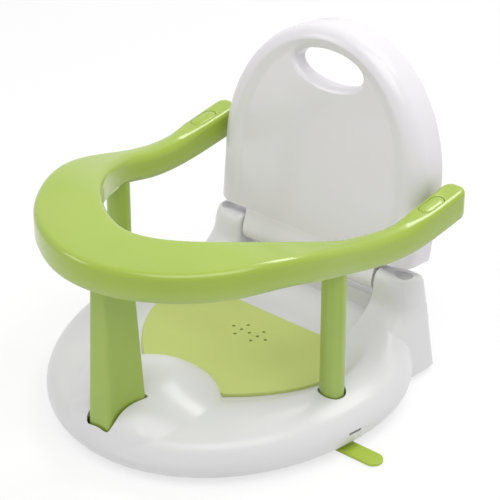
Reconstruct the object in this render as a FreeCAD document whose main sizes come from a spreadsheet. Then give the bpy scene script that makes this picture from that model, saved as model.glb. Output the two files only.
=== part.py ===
import FreeCAD, Part
import math
import os
import Sketcher
from FreeCAD import Placement, Rotation, Vector

# Baby bath seat: a white base with four suction cups, a soft seat mat, a tray ring on three posts,
# and a backrest that folds forward between the ring's two arms. The seat faces -Y, +Z is up, and the
# origin is on the floor below the middle of the base. All sizes are in millimetres.

# Driving dimensions: alias, value, what it is
SIZES = [
    ("base_half_width", 147.0, "widest half width of the base, at the bulge"),
    ("base_front", 158.0, "widest distance of the base's front from the origin, at the bulge"),
    ("base_centre", 20.0, "Y of the base's widest place"),
    ("base_rear", 155.0, "distance of the uncut base's rear from the origin, at the bulge"),
    ("base_clearance", 3.0, "height of the base's lower rim above the floor"),
    ("base_top", 43.0, "top of the uncut base dome"),
    ("base_wall", 3.0, "wall of the base shell"),
    ("bowl_half_width", 94.0, "half width of the seat floor"),
    ("bowl_half_depth", 76.0, "half depth of the seat floor"),
    ("bowl_centre", 3.0, "Y of the middle of the seat floor"),
    ("seat_floor", 30.0, "height of the seat floor"),
    ("crest_half_width", 109.0, "half width of the bowl's rim"),
    ("crest_half_depth", 118.0, "half depth of the bowl's rim"),
    ("hump_half_width", 58.0, "half width of the hump between the legs"),
    ("hump_half_depth", 70.0, "half depth of the hump between the legs"),
    ("hump_centre", -88.0, "Y of the middle of the hump"),
    ("hump_top", 58.0, "height of the hump"),
    ("hump_root", 21.0, "height of the hump's widest level"),
    ("transom_front", 112.0, "Y of the rear wall's front face at its top"),
    ("transom_rear", 130.0, "Y of the flat back of the base"),
    ("transom_top", 57.0, "top of the rear wall between the ears"),
    ("ear_inner", 72.0, "X of an ear's inner face"),
    ("ear_width", 34.0, "width of an ear at its top"),
    ("ear_flare", 13.0, "how far an ear's foot stands out beyond its top"),
    ("ear_foot", 4.5, "height of the underside of an ear's foot"),
    ("ear_depth", 42.0, "depth of an ear's foot"),
    ("knuckle_radius", 10.0, "radius of an ear's rounded top front"),
    ("hinge_height", 75.0, "height of the backrest's hinge axis"),
    ("hinge_depth", 115.0, "Y of the backrest's hinge axis"),
    ("pin_radius", 4.0, "radius of a hinge pin"),
    ("pin_play", 0.05, "radial play of a hinge pin in the backrest"),
    ("pin_engagement", 22.0, "length of a hinge pin inside the backrest"),
    ("pin_seat", 16.0, "length of a hinge pin inside its ear"),
    ("ear_play", 2.0, "gap between an ear and the backrest's tongue"),
    ("backrest_lean", 8.0, "lean of the backrest from upright, in degrees"),
    ("backrest_half_width", 102.0, "half width of the backrest at its shoulders"),
    ("backrest_waist", 104.5, "half width of the backrest where its arch starts"),
    ("backrest_shoulder", 18.0, "height of the shoulders above the hinge axis"),
    ("backrest_spring", 82.5, "height above the hinge axis where the arch starts"),
    ("backrest_height", 201.0, "height of the arch's top above the hinge axis"),
    ("backrest_front", 11.0, "distance of the backrest's front from the hinge axis"),
    ("backrest_rear", 25.0, "distance of the backrest's rear edge from the hinge axis"),
    ("backrest_wall", 3.0, "wall of the backrest shell"),
    ("rim_side_width", 26.0, "width of the backrest's rolled rim at the sides"),
    ("rim_top_width", 18.0, "width of the backrest's rolled rim at the top"),
    ("panel_depth", 2.5, "depth of the panel below the rolled rim"),
    ("handle_half_width", 35.0, "half width of the carrying hole"),
    ("handle_half_height", 15.0, "half height of the carrying hole"),
    ("handle_drop", 35.0, "distance from the arch's top down to the carrying hole's middle"),
    ("back_cover_inset", 19.0, "how deep the back cover sits in the rim"),
    ("ring_half_width", 126.5, "half width of the ring over the posts"),
    ("ring_front", 167.73, "distance from the origin to the ring's front edge"),
    ("ring_front_inner", 109.0, "distance from the origin to the front of the ring's opening"),
    ("ring_inner_half_width", 106.0, "half width of the ring's opening beside the posts"),
    ("arm_end_outer", 132.0, "outer half width at the arm ends"),
    ("arm_end_inner", 110.5, "inner half width at the arm ends"),
    ("arm_end_rear", 150.0, "Y of the arm ends"),
    ("ring_front_top", 193.0, "height of the ring's top at the front"),
    ("ring_arm_top", 162.5, "height of the ring's top at its lowest, behind the posts"),
    ("ring_end_top", 168.0, "height of the ring's top at the arm ends"),
    ("ring_skirt", 24.0, "height of the ring's side wall"),
    ("ring_cover", 3.0, "thickness of the ring's lower cover"),
    ("ring_seam", 0.8, "how far the lower cover stands in from the skirt"),
    ("post_radius", 10.0, "radius of a side post"),
    ("post_half_spacing", 114.0, "X of a side post"),
    ("post_line", -4.0, "Y of the side posts"),
    ("post_foot", 20.0, "height of a side post's foot inside the base"),
    ("post_socket_gap", 0.4, "gap around a post where it enters the base"),
    ("post_spigot", 8.0, "length of a post's spigot inside the ring"),
    ("post_spigot_radius", 7.0, "radius of a post's spigot"),
    ("front_post_front", -152.5, "Y of the front post's face where it enters the base"),
    ("front_post_depth", 34.0, "depth of the front post where it enters the base"),
    ("front_post_face", 24.0, "width of the front post's face at the base"),
    ("front_post_rear", 44.0, "width of the front post's rear edge at the base"),
    ("front_post_hollow", 4.0, "how far the front post's sides curve in"),
    ("front_post_entry", 42.0, "height where the front post's section is given"),
    ("front_post_foot", 22.0, "height of the front post's foot inside the base"),
    ("front_post_taper", 0.67, "size of the front post's top against its base section"),
    ("front_post_gap", 0.8, "gap around the front post in the base"),
    ("button_half_width", 6.0, "half width of an arm button"),
    ("button_length", 27.0, "length of an arm button"),
    ("button_front", 99.0, "Y of an arm button's front end"),
    ("button_height", 8.0, "height of an arm button's cap"),
    ("button_proud", 0.8, "how far an arm button stands above its arm"),
    ("button_gap", 0.3, "gap around an arm button"),
    ("button_travel", 2.0, "travel of an arm button"),
    ("spring_space", 5.0, "height of the space for a button's spring"),
    ("spring_radius", 3.2, "radius of a button spring's coil"),
    ("spring_wire", 0.9, "thickness of a button spring's wire"),
    ("spring_turns", 3.5, "turns of a button spring"),
    ("pad_thickness", 3.0, "thickness of the seat mat"),
    ("pad_margin", 1.0, "gap between the seat mat and the bowl's wall"),
    ("pad_rear", 66.0, "Y of the seat mat's straight rear edge"),
    ("drain_pitch", 8.6, "spacing of the drain holes"),
    ("drain_radius", 1.3, "radius of a drain hole"),
    ("drain_row", 30.0, "Y of the row of drain holes"),
    ("cover_level", 10.0, "height of the bottom cover's lower face"),
    ("cover_thickness", 3.0, "thickness of the bottom cover"),
    ("cover_gap", 0.3, "gap between the bottom cover and the base's wall"),
    ("cup_radius", 27.0, "radius of a suction cup's lip"),
    ("cup_neck_radius", 6.0, "radius of a suction cup's neck"),
    ("cup_head_radius", 9.0, "radius of a suction cup's head"),
    ("cup_head_height", 3.5, "height of a suction cup's head"),
    ("cup_lip_height", 1.2, "thickness of a suction cup's lip"),
    ("cup_lip_flat", 1.5, "width of the flat ring that a suction cup rests on"),
    ("cup_hollow", 4.5, "depth of a suction cup's hollow"),
    ("cup_side_place", 88.0, "distance of the side cups from the origin"),
    ("cup_front_place", 92.0, "distance of the front cup from the origin"),
    ("cup_rear_place", 98.0, "distance of the rear cup from the origin"),
    ("cup_side_line", -4.0, "Y of the side cups"),
    ("tab_reach", 166.0, "X of the pull tab's round end"),
    ("tab_width", 14.0, "width of the pull tab"),
    ("tab_thickness", 2.2, "thickness of the pull tab"),
    ("tab_level", 0.9, "height of the pull tab's underside"),
    ("slit_length", 12.0, "length of the slit in the base's flank"),
    ("slit_height", 1.6, "height of the slit in the base's flank"),
    ("slit_line", -15.0, "Y of the middle of the slit"),
    ("slit_level", 22.0, "height of the slit"),
]

doc = FreeCAD.newDocument("baby_bath_seat")
sheet = doc.addObject("Spreadsheet::Sheet", "Sizes")
for row, (alias, value, note) in enumerate(SIZES, start=1):
    sheet.set(f"A{row}", str(value))
    sheet.setAlias(f"A{row}", alias)
    sheet.set(f"B{row}", note)
doc.recompute()


def size(alias):
    """Value of a driving dimension, read from the sheet."""
    return float(getattr(sheet, alias))


class Measure:
    """A length together with the expression over the sheet that gives it."""

    def __init__(self, value, text):
        self.value = value
        self.text = text

    def __add__(self, other):
        other = measure(other)
        return Measure(self.value + other.value, f"({self.text} + {other.text})")

    def __sub__(self, other):
        other = measure(other)
        return Measure(self.value - other.value, f"({self.text} - {other.text})")

    def __mul__(self, factor):
        return Measure(self.value * factor, f"({self.text} * {factor})")


def measure(source):
    """Measure of a driving dimension, of a plain number or of a measure."""
    if isinstance(source, Measure):
        return source
    if isinstance(source, str):
        return Measure(size(source), f"Sizes.{source}")
    return Measure(float(source), str(float(source)))


def bind(target, **measures):
    """Binds properties of an object to measures."""
    for prop, source in measures.items():
        target.setExpression(prop, measure(source).text)


def profile_sketch(body, points):
    """Closed sketch of straight edges in the body's XZ plane, every corner bound to the sheet."""
    sketch = body.newObject("Sketcher::SketchObject", body.Name + "_profile")
    plane = next(item for item in body.Origin.OriginFeatures if item.Role == "XZ_Plane")
    sketch.AttachmentSupport = [(plane, "")]
    sketch.MapMode = "FlatFace"
    corners = [(measure(across), measure(up)) for across, up in points]
    count = len(corners)
    for index, (across, up) in enumerate(corners):
        ahead, above = corners[(index + 1) % count]
        sketch.addGeometry(Part.LineSegment(Vector(across.value, up.value, 0),
                                            Vector(ahead.value, above.value, 0)))
    for index in range(count):
        sketch.addConstraint(Sketcher.Constraint("Coincident", index, 2, (index + 1) % count, 1))
    for index, (across, up) in enumerate(corners):
        hold_corner(sketch, index, "DistanceX", -2, across)
        hold_corner(sketch, index, "DistanceY", -1, up)
    return sketch


def hold_corner(sketch, index, kind, axis, distance):
    """Holds the start of an edge at a distance from the origin, or on the axis where it is zero."""
    if distance.value == 0:
        sketch.addConstraint(Sketcher.Constraint("PointOnObject", index, 1, axis))
        return
    number = sketch.addConstraint(Sketcher.Constraint(kind, -1, 1, index, 1, distance.value))
    sketch.setExpression(f"Constraints[{number}]", distance.text)


def turned_body(label, points):
    """Body turned about the Z axis from a profile of radius and height."""
    body = doc.addObject("PartDesign::Body", label)
    body.Label = label
    sketch = profile_sketch(body, points)
    turn = body.newObject("PartDesign::Revolution", label + "_turn")
    turn.Profile = sketch
    turn.ReferenceAxis = (sketch, ["V_Axis"])
    turn.Angle = 360
    doc.recompute()
    return body


def feature(label, shape):
    """A sub-part whose shape is worked out with the modelling functions."""
    item = doc.addObject("Part::Feature", label)
    item.Shape = shape
    item.Label = label
    return item


def solid_of(shape):
    """The largest solid of a boolean result, with its split faces joined where that stays valid."""
    clean = shape.copy().removeSplitter()
    kept = clean if clean.isValid() else shape
    return max(kept.Solids, key=lambda part: part.Volume)


EGG_POINTS = 20


def ellipse_wire(half_x, half_y, level, centre_y=0.0):
    """Closed ellipse in a level plane, started on the Y axis or the X axis whichever is longer."""
    centre = Vector(0, centre_y, level)
    if half_x >= half_y:
        curve = Part.Ellipse(centre, half_x, half_y)
    else:
        curve = Part.Ellipse(centre + Vector(0, half_y, 0), centre + Vector(-half_x, 0, 0), centre)
    return Part.Wire(curve.toShape())


def egg_wire(half_x, front, rear, centre, level):
    """Closed smooth outline in a level plane: a half ellipse in front of its widest line, one behind it."""
    points = []
    for step in range(EGG_POINTS):
        turn = 2 * math.pi * step / EGG_POINTS
        reach = front + centre if math.sin(turn) < 0 else rear - centre
        points.append(Vector(half_x * math.cos(turn), centre + reach * math.sin(turn), level))
    curve = Part.BSplineCurve()
    curve.interpolate(points, PeriodicFlag=True)
    return Part.Wire(curve.toShape())


def loft(wires):
    """Smooth closed solid through a list of wires."""
    return Part.makeLoft(wires, True, False)


def spline(points, start=None, end=None):
    """Edge of one smooth curve through a few points, with optional end directions."""
    curve = Part.BSplineCurve()
    if start is None:
        curve.interpolate([Vector(*point) for point in points])
    else:
        curve.interpolate([Vector(*point) for point in points], InitialTangent=start, FinalTangent=end)
    return curve.toShape()


def line(first, second):
    """Straight edge between two points."""
    return Part.LineSegment(Vector(*first), Vector(*second)).toShape()


def mirrored(shape):
    """Copy of a shape on the other side of the seat's middle plane."""
    return shape.mirror(Vector(0, 0, 0), Vector(1, 0, 0))


def prism(edges, direction):
    """Solid swept straight from a flat closed outline."""
    return Part.Face(Part.Wire(Part.__sortEdges__(edges))).extrude(direction)


# Base: a doughnut-like dome, hollow below, with a sunken seat, a hump and two ears at the rear

# Share of the widest outline at shares of the height, from the lower rim to the crown
DOME_SECTIONS = [(0.0, 0.935), (0.14, 0.975), (0.38, 1.0), (0.64, 0.98), (0.85, 0.91), (0.96, 0.835), (1.0, 0.765)]


def dome(inset, bottom, top):
    """The base's outer form, or its inside when inset by a wall."""
    low = size("base_clearance")
    levels = [low + (size("base_top") - low) * share for share, scale in DOME_SECTIONS]
    levels[0] = bottom
    levels[-1] = top
    levels[-2] = min(levels[-2], top - 0.3 * (size("base_top") - levels[-2]))
    return loft([base_outline(scale, inset, level) for level, (share, scale) in zip(levels, DOME_SECTIONS)])


def base_outline(scale, inset, level):
    """The base's outline at a level, scaled about the origin and drawn in by a wall."""
    return egg_wire(size("base_half_width") * scale - inset, size("base_front") * scale - inset,
                    size("base_rear") * scale - inset, size("base_centre") * scale, level)


def bowl(inset, drop):
    """The sunken seat's space, or that space grown by a wall."""
    floor = size("seat_floor") - drop
    rim = size("base_top") + 1.0
    middle = floor + (rim - floor) * 0.35
    centre = size("bowl_centre")
    return loft([
        ellipse_wire(size("bowl_half_width") + inset, size("bowl_half_depth") + inset, floor, centre),
        ellipse_wire(size("bowl_half_width") * 0.4 + size("crest_half_width") * 0.6 + inset,
                     size("bowl_half_depth") * 0.55 + size("crest_half_depth") * 0.45 + inset,
                     middle, centre * 0.5),
        ellipse_wire(size("crest_half_width") + inset, size("crest_half_depth") + inset, rim),
    ])


def hump(inset):
    """The smooth hump between the legs, whole, or inset by a wall."""
    ball = Part.makeSphere(1.0)
    matrix = FreeCAD.Matrix()
    matrix.scale(size("hump_half_width") - inset, size("hump_half_depth") - inset,
                 size("hump_top") - size("hump_root") - inset)
    form = ball.transformGeometry(matrix)
    form.translate(Vector(0, size("hump_centre"), size("hump_root")))
    return form


def ear():
    """One hinge ear with a round top front, a flat top and a foot that stands out."""
    inner = size("ear_inner")
    axis_y = size("hinge_depth")
    axis_z = size("hinge_height")
    radius = size("knuckle_radius")
    rear = size("transom_rear")
    foot_front = rear - size("ear_depth")
    foot = size("ear_foot")
    shoulder = size("base_top") * 0.9
    top = axis_z + radius
    edges = [
        line((0, rear, foot), (0, rear, top)),
        line((0, rear, top), (0, axis_y, top)),
        Part.Arc(Vector(0, axis_y, top),
                 Vector(0, axis_y - radius * math.sin(math.radians(45)),
                        axis_z + radius * math.cos(math.radians(45))),
                 Vector(0, axis_y - radius, axis_z)).toShape(),
        spline([(0, axis_y - radius, axis_z), (0, axis_y - radius - 3.0, axis_z - 13.0),
                (0, foot_front, shoulder)], Vector(0, 0, -1), Vector(0, -1, -0.35)),
        line((0, foot_front, shoulder), (0, foot_front, foot)),
        line((0, foot_front, foot), (0, rear, foot)),
    ]
    width = size("ear_width") + size("ear_flare")
    block = prism(edges, Vector(width, 0, 0))
    block.translate(Vector(inner, 0, 0))
    outer = inner + size("ear_width")
    flare = size("ear_flare")
    trim = prism([
        line((outer, 0, top + 1.0), (outer + flare, 0, foot - 1.0)),
        line((outer + flare, 0, foot - 1.0), (outer + flare + width, 0, foot - 1.0)),
        line((outer + flare + width, 0, foot - 1.0), (outer + flare + width, 0, top + 1.0)),
        line((outer + flare + width, 0, top + 1.0), (outer, 0, top + 1.0)),
    ], Vector(0, rear + 10.0, 0))
    return block.cut(trim)


def front_post_section(level, grow):
    """Outline of the front post at a level: flat face, hollow sides, wider rear."""
    entry = size("front_post_entry")
    top = size("ring_front_top")
    share = (level - entry) / (top - entry)
    scale = 1.0 + (size("front_post_taper") - 1.0) * share
    face = size("front_post_face") / 2 * scale + grow
    rear = size("front_post_rear") / 2 * scale + grow
    middle_y = size("front_post_front") + size("front_post_depth") / 2
    half = size("front_post_depth") / 2 * scale + grow
    hollow = size("front_post_hollow") * scale
    front_y = middle_y - half
    rear_y = middle_y + half
    waist = (face + rear) / 2 - hollow
    right = Part.Arc(Vector(face, front_y, level), Vector(waist, middle_y, level),
                     Vector(rear, rear_y, level)).toShape()
    left = Part.Arc(Vector(-rear, rear_y, level), Vector(-waist, middle_y, level),
                    Vector(-face, front_y, level)).toShape()
    back = Part.Arc(Vector(rear, rear_y, level), Vector(0, rear_y - hollow * 0.5, level),
                    Vector(-rear, rear_y, level)).toShape()
    front = line((-face, front_y, level), (face, front_y, level))
    return Part.Wire([front, right, back, left])


def front_post_form(bottom, top, grow):
    """Tapering solid of the front post between two levels."""
    return Part.makeLoft([front_post_section(bottom, grow), front_post_section(top, grow)], True, True)


def vertical_cylinder(radius, bottom, top, at_x, at_y):
    """Upright cylinder between two levels."""
    return Part.makeCylinder(radius, top - bottom, Vector(at_x, at_y, bottom))


def across_cylinder(radius, start_x, end_x, at_y, at_z):
    """Cylinder along X between two places."""
    return Part.makeCylinder(radius, end_x - start_x, Vector(start_x, at_y, at_z), Vector(1, 0, 0))


def drain_places():
    """Middles of the nine drain holes: a row of five and one before and behind the 2nd and 4th."""
    pitch = size("drain_pitch")
    row_y = size("drain_row")
    row = [(step * pitch, row_y) for step in (-2, -1, 0, 1, 2)]
    beside = [(step * pitch, row_y + side * pitch) for step in (-1, 1) for side in (-1, 1)]
    return row + beside


def drain_cuts():
    """The drain holes' cutters, through mat, seat floor and nothing else."""
    return [vertical_cylinder(size("drain_radius"), size("seat_floor") - 10.0, size("seat_floor") + 10.0, *place)
            for place in drain_places()]


def base_shell():
    """The white base, in one moulding, with its post sockets, hinge ears and flank slits."""
    wall = size("base_wall")
    low = size("base_clearance")
    top = size("base_top")
    rear = size("transom_rear")
    behind_wall = Part.makeBox(600, 400, 300, Vector(-300, rear - wall, -50))
    inside = dome(wall, low - 1.0, top - wall).cut([bowl(wall, wall), behind_wall])
    behind = Part.makeBox(600, 200, 300, Vector(-300, rear, -50))
    shell = dome(0.0, low, top).cut([bowl(0.0, 0.0), behind])
    for addition in [ear(), mirrored(ear()), transom(), hump_top()]:
        shell = shell.fuse(addition)
    shell = shell.cut(inside)
    for addition in post_sockets():
        shell = shell.fuse(addition)
    for cutter in post_cuts() + drain_cuts() + pin_holes_in_ears() + flank_slits():
        shell = shell.cut(cutter)
    return solid_of(shell)


def within_base(share, level):
    """Upright space inside a share of the base's widest outline, from a level up."""
    return Part.Face(base_outline(share, 0.0, level)).extrude(Vector(0, 0, size("base_top")))


def hump_top():
    """The part of the hump above the underside of the seat floor, kept inside the base's flank."""
    return hump(0.0).common(within_base(0.985, size("seat_floor") - size("base_wall")))


def transom():
    """The rear wall between the ears, below the backrest's tongue."""
    reach = size("ear_inner") + size("ear_play")
    level = size("seat_floor") + size("pad_thickness")
    return Part.makeBox(2 * reach, size("transom_rear") - size("transom_front"),
                        size("transom_top") - level, Vector(-reach, size("transom_front"), level))


def post_sockets():
    """Solid bosses inside the shell that carry the three posts."""
    spread = size("post_half_spacing")
    wall = size("base_wall")
    level = size("cover_level") + size("cover_thickness")
    side_top = size("seat_floor") + 2.5 * wall
    posts = [vertical_cylinder(size("post_radius") + 0.7 * wall, level, side_top,
                               side * spread, size("post_line")) for side in (-1, 1)]
    front = front_post_form(level, size("front_post_entry"), wall).common(within_base(0.97, level - 1.0))
    return posts + [front]


def post_cuts():
    """The spaces that the three posts stand in."""
    spread = size("post_half_spacing")
    gap = size("post_radius") + size("post_socket_gap")
    above = size("base_top") + 20.0
    posts = [vertical_cylinder(gap, size("post_foot"), above, side * spread, size("post_line"))
             for side in (-1, 1)]
    front = front_post_form(size("front_post_foot"), above, size("front_post_gap"))
    return posts + [front]


def pin_holes_in_ears():
    """Blind holes in the ears that hold the hinge pins."""
    inner = size("ear_inner")
    right = across_cylinder(size("pin_radius"), inner - 1.0, inner + size("pin_seat"),
                            size("hinge_depth"), size("hinge_height"))
    return [right, mirrored(right)]


def flank_slits():
    """The narrow slit through each flank of the base."""
    length = size("slit_length")
    height = size("slit_height")
    reach = size("base_half_width")
    box = Part.makeBox(12.0, length, height,
                       Vector(reach - 9.0, size("slit_line") - length / 2, size("slit_level")))
    return [box, mirrored(box)]


def bottom_cover():
    """Flat plate inside the base's lower rim, with the holes that the suction cups' necks pass."""
    level = size("cover_level")
    top = level + size("cover_thickness")
    inset = size("base_wall") + size("cover_gap")
    plate = dome(inset, size("base_clearance") - 1.0, size("base_top") - size("base_wall"))
    slab = Part.makeBox(600, 600, size("cover_thickness"), Vector(-300, -300, level))
    plate = plate.common(slab)
    rear_limit = size("transom_rear") - size("base_wall") - size("cover_gap")
    plate = plate.cut(Part.makeBox(600, 200, 300, Vector(-300, rear_limit, -50)))
    holes = [vertical_cylinder(size("cup_neck_radius") + size("cover_gap"), level - 1.0, top + 1.0, *place)
             for place in cup_places().values()]
    return solid_of(plate.cut(holes))


def cup_places():
    """Middle of each suction cup."""
    return {
        "front": (0.0, -size("cup_front_place")),
        "rear": (0.0, size("cup_rear_place")),
        "left": (-size("cup_side_place"), size("cup_side_line")),
        "right": (size("cup_side_place"), size("cup_side_line")),
    }


def seat_mat():
    """Soft mat on the seat floor: straight behind, curved round the hump in front, nine drain holes."""
    floor = size("seat_floor")
    margin = size("pad_margin")
    thick = size("pad_thickness")
    outline = ellipse_wire(size("bowl_half_width") - margin, size("bowl_half_depth") - margin,
                           floor, size("bowl_centre"))
    mat = Part.Face(outline).extrude(Vector(0, 0, thick))
    mat = mat.cut(Part.makeBox(400, 200, 200, Vector(-200, size("pad_rear"), -50)))
    mat = mat.cut(hump(-margin))
    return solid_of(mat.cut(drain_cuts()))


# Ring: a flat front tray that sinks and narrows into two arms

# Shares of the half width and of the reach for the outline's points between front and side
RING_OUTLINE = [(0.356, 0.936), (0.662, 0.77), (0.872, 0.531), (0.98, 0.2576)]
OPENING_OUTLINE = [(0.27, 0.935), (0.50, 0.805), (0.745, 0.575), (0.92, 0.29)]
OPENING_SIDE_LINE = 17.0
ARM_CORNER = 9.0
FORWARD = Vector(0, 1, 0)
ACROSS = Vector(1, 0, 0)


def side_curve(front, side, side_line, shares):
    """Smooth curve from the front middle to the side, right half."""
    reach = side_line - front
    points = [(0, front, 0)]
    points += [(side * across, side_line - reach * along, 0) for across, along in shares]
    points.append((side, side_line, 0))
    return spline(points, ACROSS, FORWARD)


def ring_outline(inset):
    """Flat face of the ring seen from above, whole or drawn in by a seam."""
    outer_side = size("ring_half_width") - inset
    inner_side = size("ring_inner_half_width") + inset
    outer_end = size("arm_end_outer") - inset
    inner_end = size("arm_end_inner") + inset
    rear = size("arm_end_rear") - inset
    line_y = size("post_line")
    corner = ARM_CORNER - inset
    start = rear - corner
    outer = side_curve(inset - size("ring_front"), outer_side, line_y, RING_OUTLINE)
    inner = side_curve(-inset - size("ring_front_inner"), inner_side, OPENING_SIDE_LINE, OPENING_OUTLINE)
    outer_arm = spline([(outer_side, line_y, 0), (outer_side + 0.35 * (outer_end - outer_side), 45, 0),
                        (outer_end - 0.5, 100, 0), (outer_end, start, 0)], FORWARD, FORWARD)
    inner_arm = spline([(inner_side, OPENING_SIDE_LINE, 0),
                        (inner_side + 0.75 * (inner_end - inner_side), 60, 0),
                        (inner_end, start, 0)], FORWARD, FORWARD)
    turn = corner * (1.0 - math.sqrt(0.5))
    outer_corner = Part.Arc(Vector(outer_end, start, 0), Vector(outer_end - turn, rear - turn, 0),
                            Vector(outer_end - corner, rear, 0)).toShape()
    inner_corner = Part.Arc(Vector(inner_end + corner, rear, 0), Vector(inner_end + turn, rear - turn, 0),
                            Vector(inner_end, start, 0)).toShape()
    end = line((outer_end - corner, rear, 0), (inner_end + corner, rear, 0))
    right = [outer, outer_arm, outer_corner, end, inner_corner, inner_arm, inner]
    edges = right + [mirrored(edge) for edge in right]
    return Part.Face(Part.Wire(Part.__sortEdges__(edges)))


RING_SLOPE_START = -92.0
RING_SLOPE_MIDDLE = -12.0
RING_SLOPE_END = 62.0


def ring_level_curve(drop):
    """The ring's top line seen from the side, lowered by a drop."""
    front = size("ring_front_top") - drop
    low = size("ring_arm_top") - drop
    end = size("ring_end_top") - drop
    return spline([(0, RING_SLOPE_START, front), (0, RING_SLOPE_MIDDLE, front - 0.46 * (front - low)),
                   (0, RING_SLOPE_END, low), (0, size("arm_end_rear") + 10.0, end)],
                  FORWARD, Vector(0, 1, 0.06))


def ring_band(upper_drop, lower_drop):
    """Solid between two lowered copies of the ring's top line, wider than the ring."""
    front_y = -size("ring_front") - 20.0
    rear_y = size("arm_end_rear") + 10.0
    top = size("ring_front_top")
    end = size("ring_end_top")
    edges = [
        line((0, front_y, top - upper_drop), (0, RING_SLOPE_START, top - upper_drop)),
        ring_level_curve(upper_drop),
        line((0, rear_y, end - upper_drop), (0, rear_y, end - lower_drop)),
        ring_level_curve(lower_drop),
        line((0, RING_SLOPE_START, top - lower_drop), (0, front_y, top - lower_drop)),
        line((0, front_y, top - lower_drop), (0, front_y, top - upper_drop)),
    ]
    band = prism(edges, Vector(400, 0, 0))
    band.translate(Vector(-200, 0, 0))
    return band


def ring_prism(inset):
    """Tall prism over the ring's outline, inset by a seam."""
    face = ring_outline(inset)
    low = size("ring_arm_top") - size("ring_skirt") - 20.0
    face.translate(Vector(0, 0, low))
    return face.extrude(Vector(0, 0, size("ring_front_top") + 20.0 - low))


def ring_upper():
    """The ring's upper moulding with rounded edges, button pockets and post spigot holes."""
    cover = size("ring_skirt") - size("ring_cover")
    body = ring_prism(0.0).common(ring_band(0.0, cover))
    body = solid_of(body)
    cuts = [button_form(side, size("button_gap"), pocket=True) for side in (-1, 1)]
    body = body.cut(cuts + spigot_holes())
    return solid_of(body)


def ring_cover():
    """The ring's lower cover, a little inset so that a fine seam shows."""
    cover = size("ring_skirt") - size("ring_cover")
    body = ring_prism(size("ring_seam")).common(ring_band(cover, size("ring_skirt")))
    return solid_of(body.cut(spigot_holes()))


def ring_top_at(at_y):
    """Height of the ring's top line at a place along the seat."""
    if at_y <= RING_SLOPE_START:
        return size("ring_front_top")
    curve = ring_level_curve(0.0)
    cutter = line((0, at_y, 0), (0, at_y, 400))
    return curve.distToShape(cutter)[1][0][0].z


def spigot_holes():
    """Holes in the ring's underside that take the posts' ends and their narrower spigots."""
    spread = size("post_half_spacing")
    line_y = size("post_line")
    level = post_top()
    holes = [front_spigot(10.0)]
    for side in (-1, 1):
        holes.append(vertical_cylinder(size("post_radius"), level - 30.0, level, side * spread, line_y))
        holes.append(vertical_cylinder(size("post_spigot_radius"), level - 30.0,
                                       level + size("post_spigot"), side * spread, line_y))
    return holes


def post_top():
    """Level of a side post's shoulder, where the ring's underside is highest over the post."""
    return ring_top_at(size("post_line") - size("post_radius")) - size("ring_skirt")


def front_spigot(below):
    """The front post's block inside the ring, reaching below the ring's underside by a length."""
    top = size("ring_front_top") - size("ring_skirt")
    width = size("front_post_face") * 0.6
    depth = size("front_post_depth") * 0.4
    middle = size("front_post_front") + size("front_post_depth") / 2
    return Part.makeBox(width, depth, size("post_spigot") + below,
                        Vector(-width / 2, middle - depth / 2, top - below))


def button_form(side, grow, pocket):
    """Oval arm button, or the pocket that it travels in."""
    half = size("button_half_width") + grow
    front = size("button_front") - grow
    rear = size("button_front") + size("button_length") + grow
    middle = (size("arm_end_outer") + size("arm_end_inner")) / 2
    top = ring_top_at(size("button_front") + size("button_length") / 2)
    upper = top + (20.0 if pocket else size("button_proud"))
    lower = top + size("button_proud") - size("button_height")
    if pocket:
        lower -= size("button_travel") + size("spring_space")
    box = Part.makeBox(2 * half, rear - front - 2 * half, upper - lower,
                       Vector(middle - half, front + half, lower))
    ends = [vertical_cylinder(half, lower, upper, middle, front + half),
            vertical_cylinder(half, lower, upper, middle, rear - half)]
    form = box.fuse(ends).removeSplitter()
    return form if side > 0 else mirrored(form)


def button(side):
    """Arm button with rounded top edge."""
    form = button_form(side, 0.0, pocket=False)
    top = form.BoundBox.ZMax
    edges = [edge for edge in form.Edges if edge.BoundBox.ZMin > top - 0.01]
    return solid_of(form.makeFillet(1.0, edges))


def front_post():
    """Tapering front post with its block inside the ring."""
    top = size("ring_front_top") - size("ring_skirt")
    body = front_post_form(size("front_post_foot"), top, 0.0)
    return solid_of(body.fuse(front_spigot(1.0)))


# Backrest, worked out upright with its hinge axis on the origin, then leaned and set in place

RIM_FRONT_ROUND = 14.0
RIM_REAR_ROUND = 2.5


def backrest_wire(side_inset, top_inset, level):
    """Closed outline of the backrest's shoulders, sides and arch at a depth, inset from its edge."""
    half = size("backrest_half_width") - side_inset
    waist = size("backrest_waist") - side_inset
    low = size("backrest_shoulder") + side_inset
    spring = size("backrest_spring")
    top = size("backrest_height") - top_inset
    curve = Part.Ellipse(Vector(0, level, top), Vector(waist, level, spring), Vector(0, level, spring))
    arch = Part.Arc(curve, -math.pi / 2, math.pi / 2).toShape()
    side_right = line((half, level, low), (waist, level, spring))
    below = line((-half, level, low), (half, level, low))
    return Part.Wire(Part.__sortEdges__([arch, side_right, below, mirrored(side_right)]))


def backrest_slab(side_inset, top_inset, front, rear):
    """Solid between two depths inside an inset of the backrest's outline."""
    return Part.Face(backrest_wire(side_inset, top_inset, front)).extrude(Vector(0, rear - front, 0))


def handle_slab(grow, front, rear):
    """Oval solid through the carrying hole, or a larger one around it."""
    half_x = size("handle_half_width") + grow
    half_z = size("handle_half_height") + grow
    centre = Vector(0, front, size("backrest_height") - size("handle_drop"))
    curve = Part.Ellipse(centre + Vector(half_x, 0, 0), centre + Vector(0, 0, half_z), centre)
    return Part.Face(Part.Wire(curve.toShape())).extrude(Vector(0, rear - front, 0))


def tongue_half_width():
    """Half width of the backrest's tongue between the ears."""
    return size("ear_inner") - size("ear_play")


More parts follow.
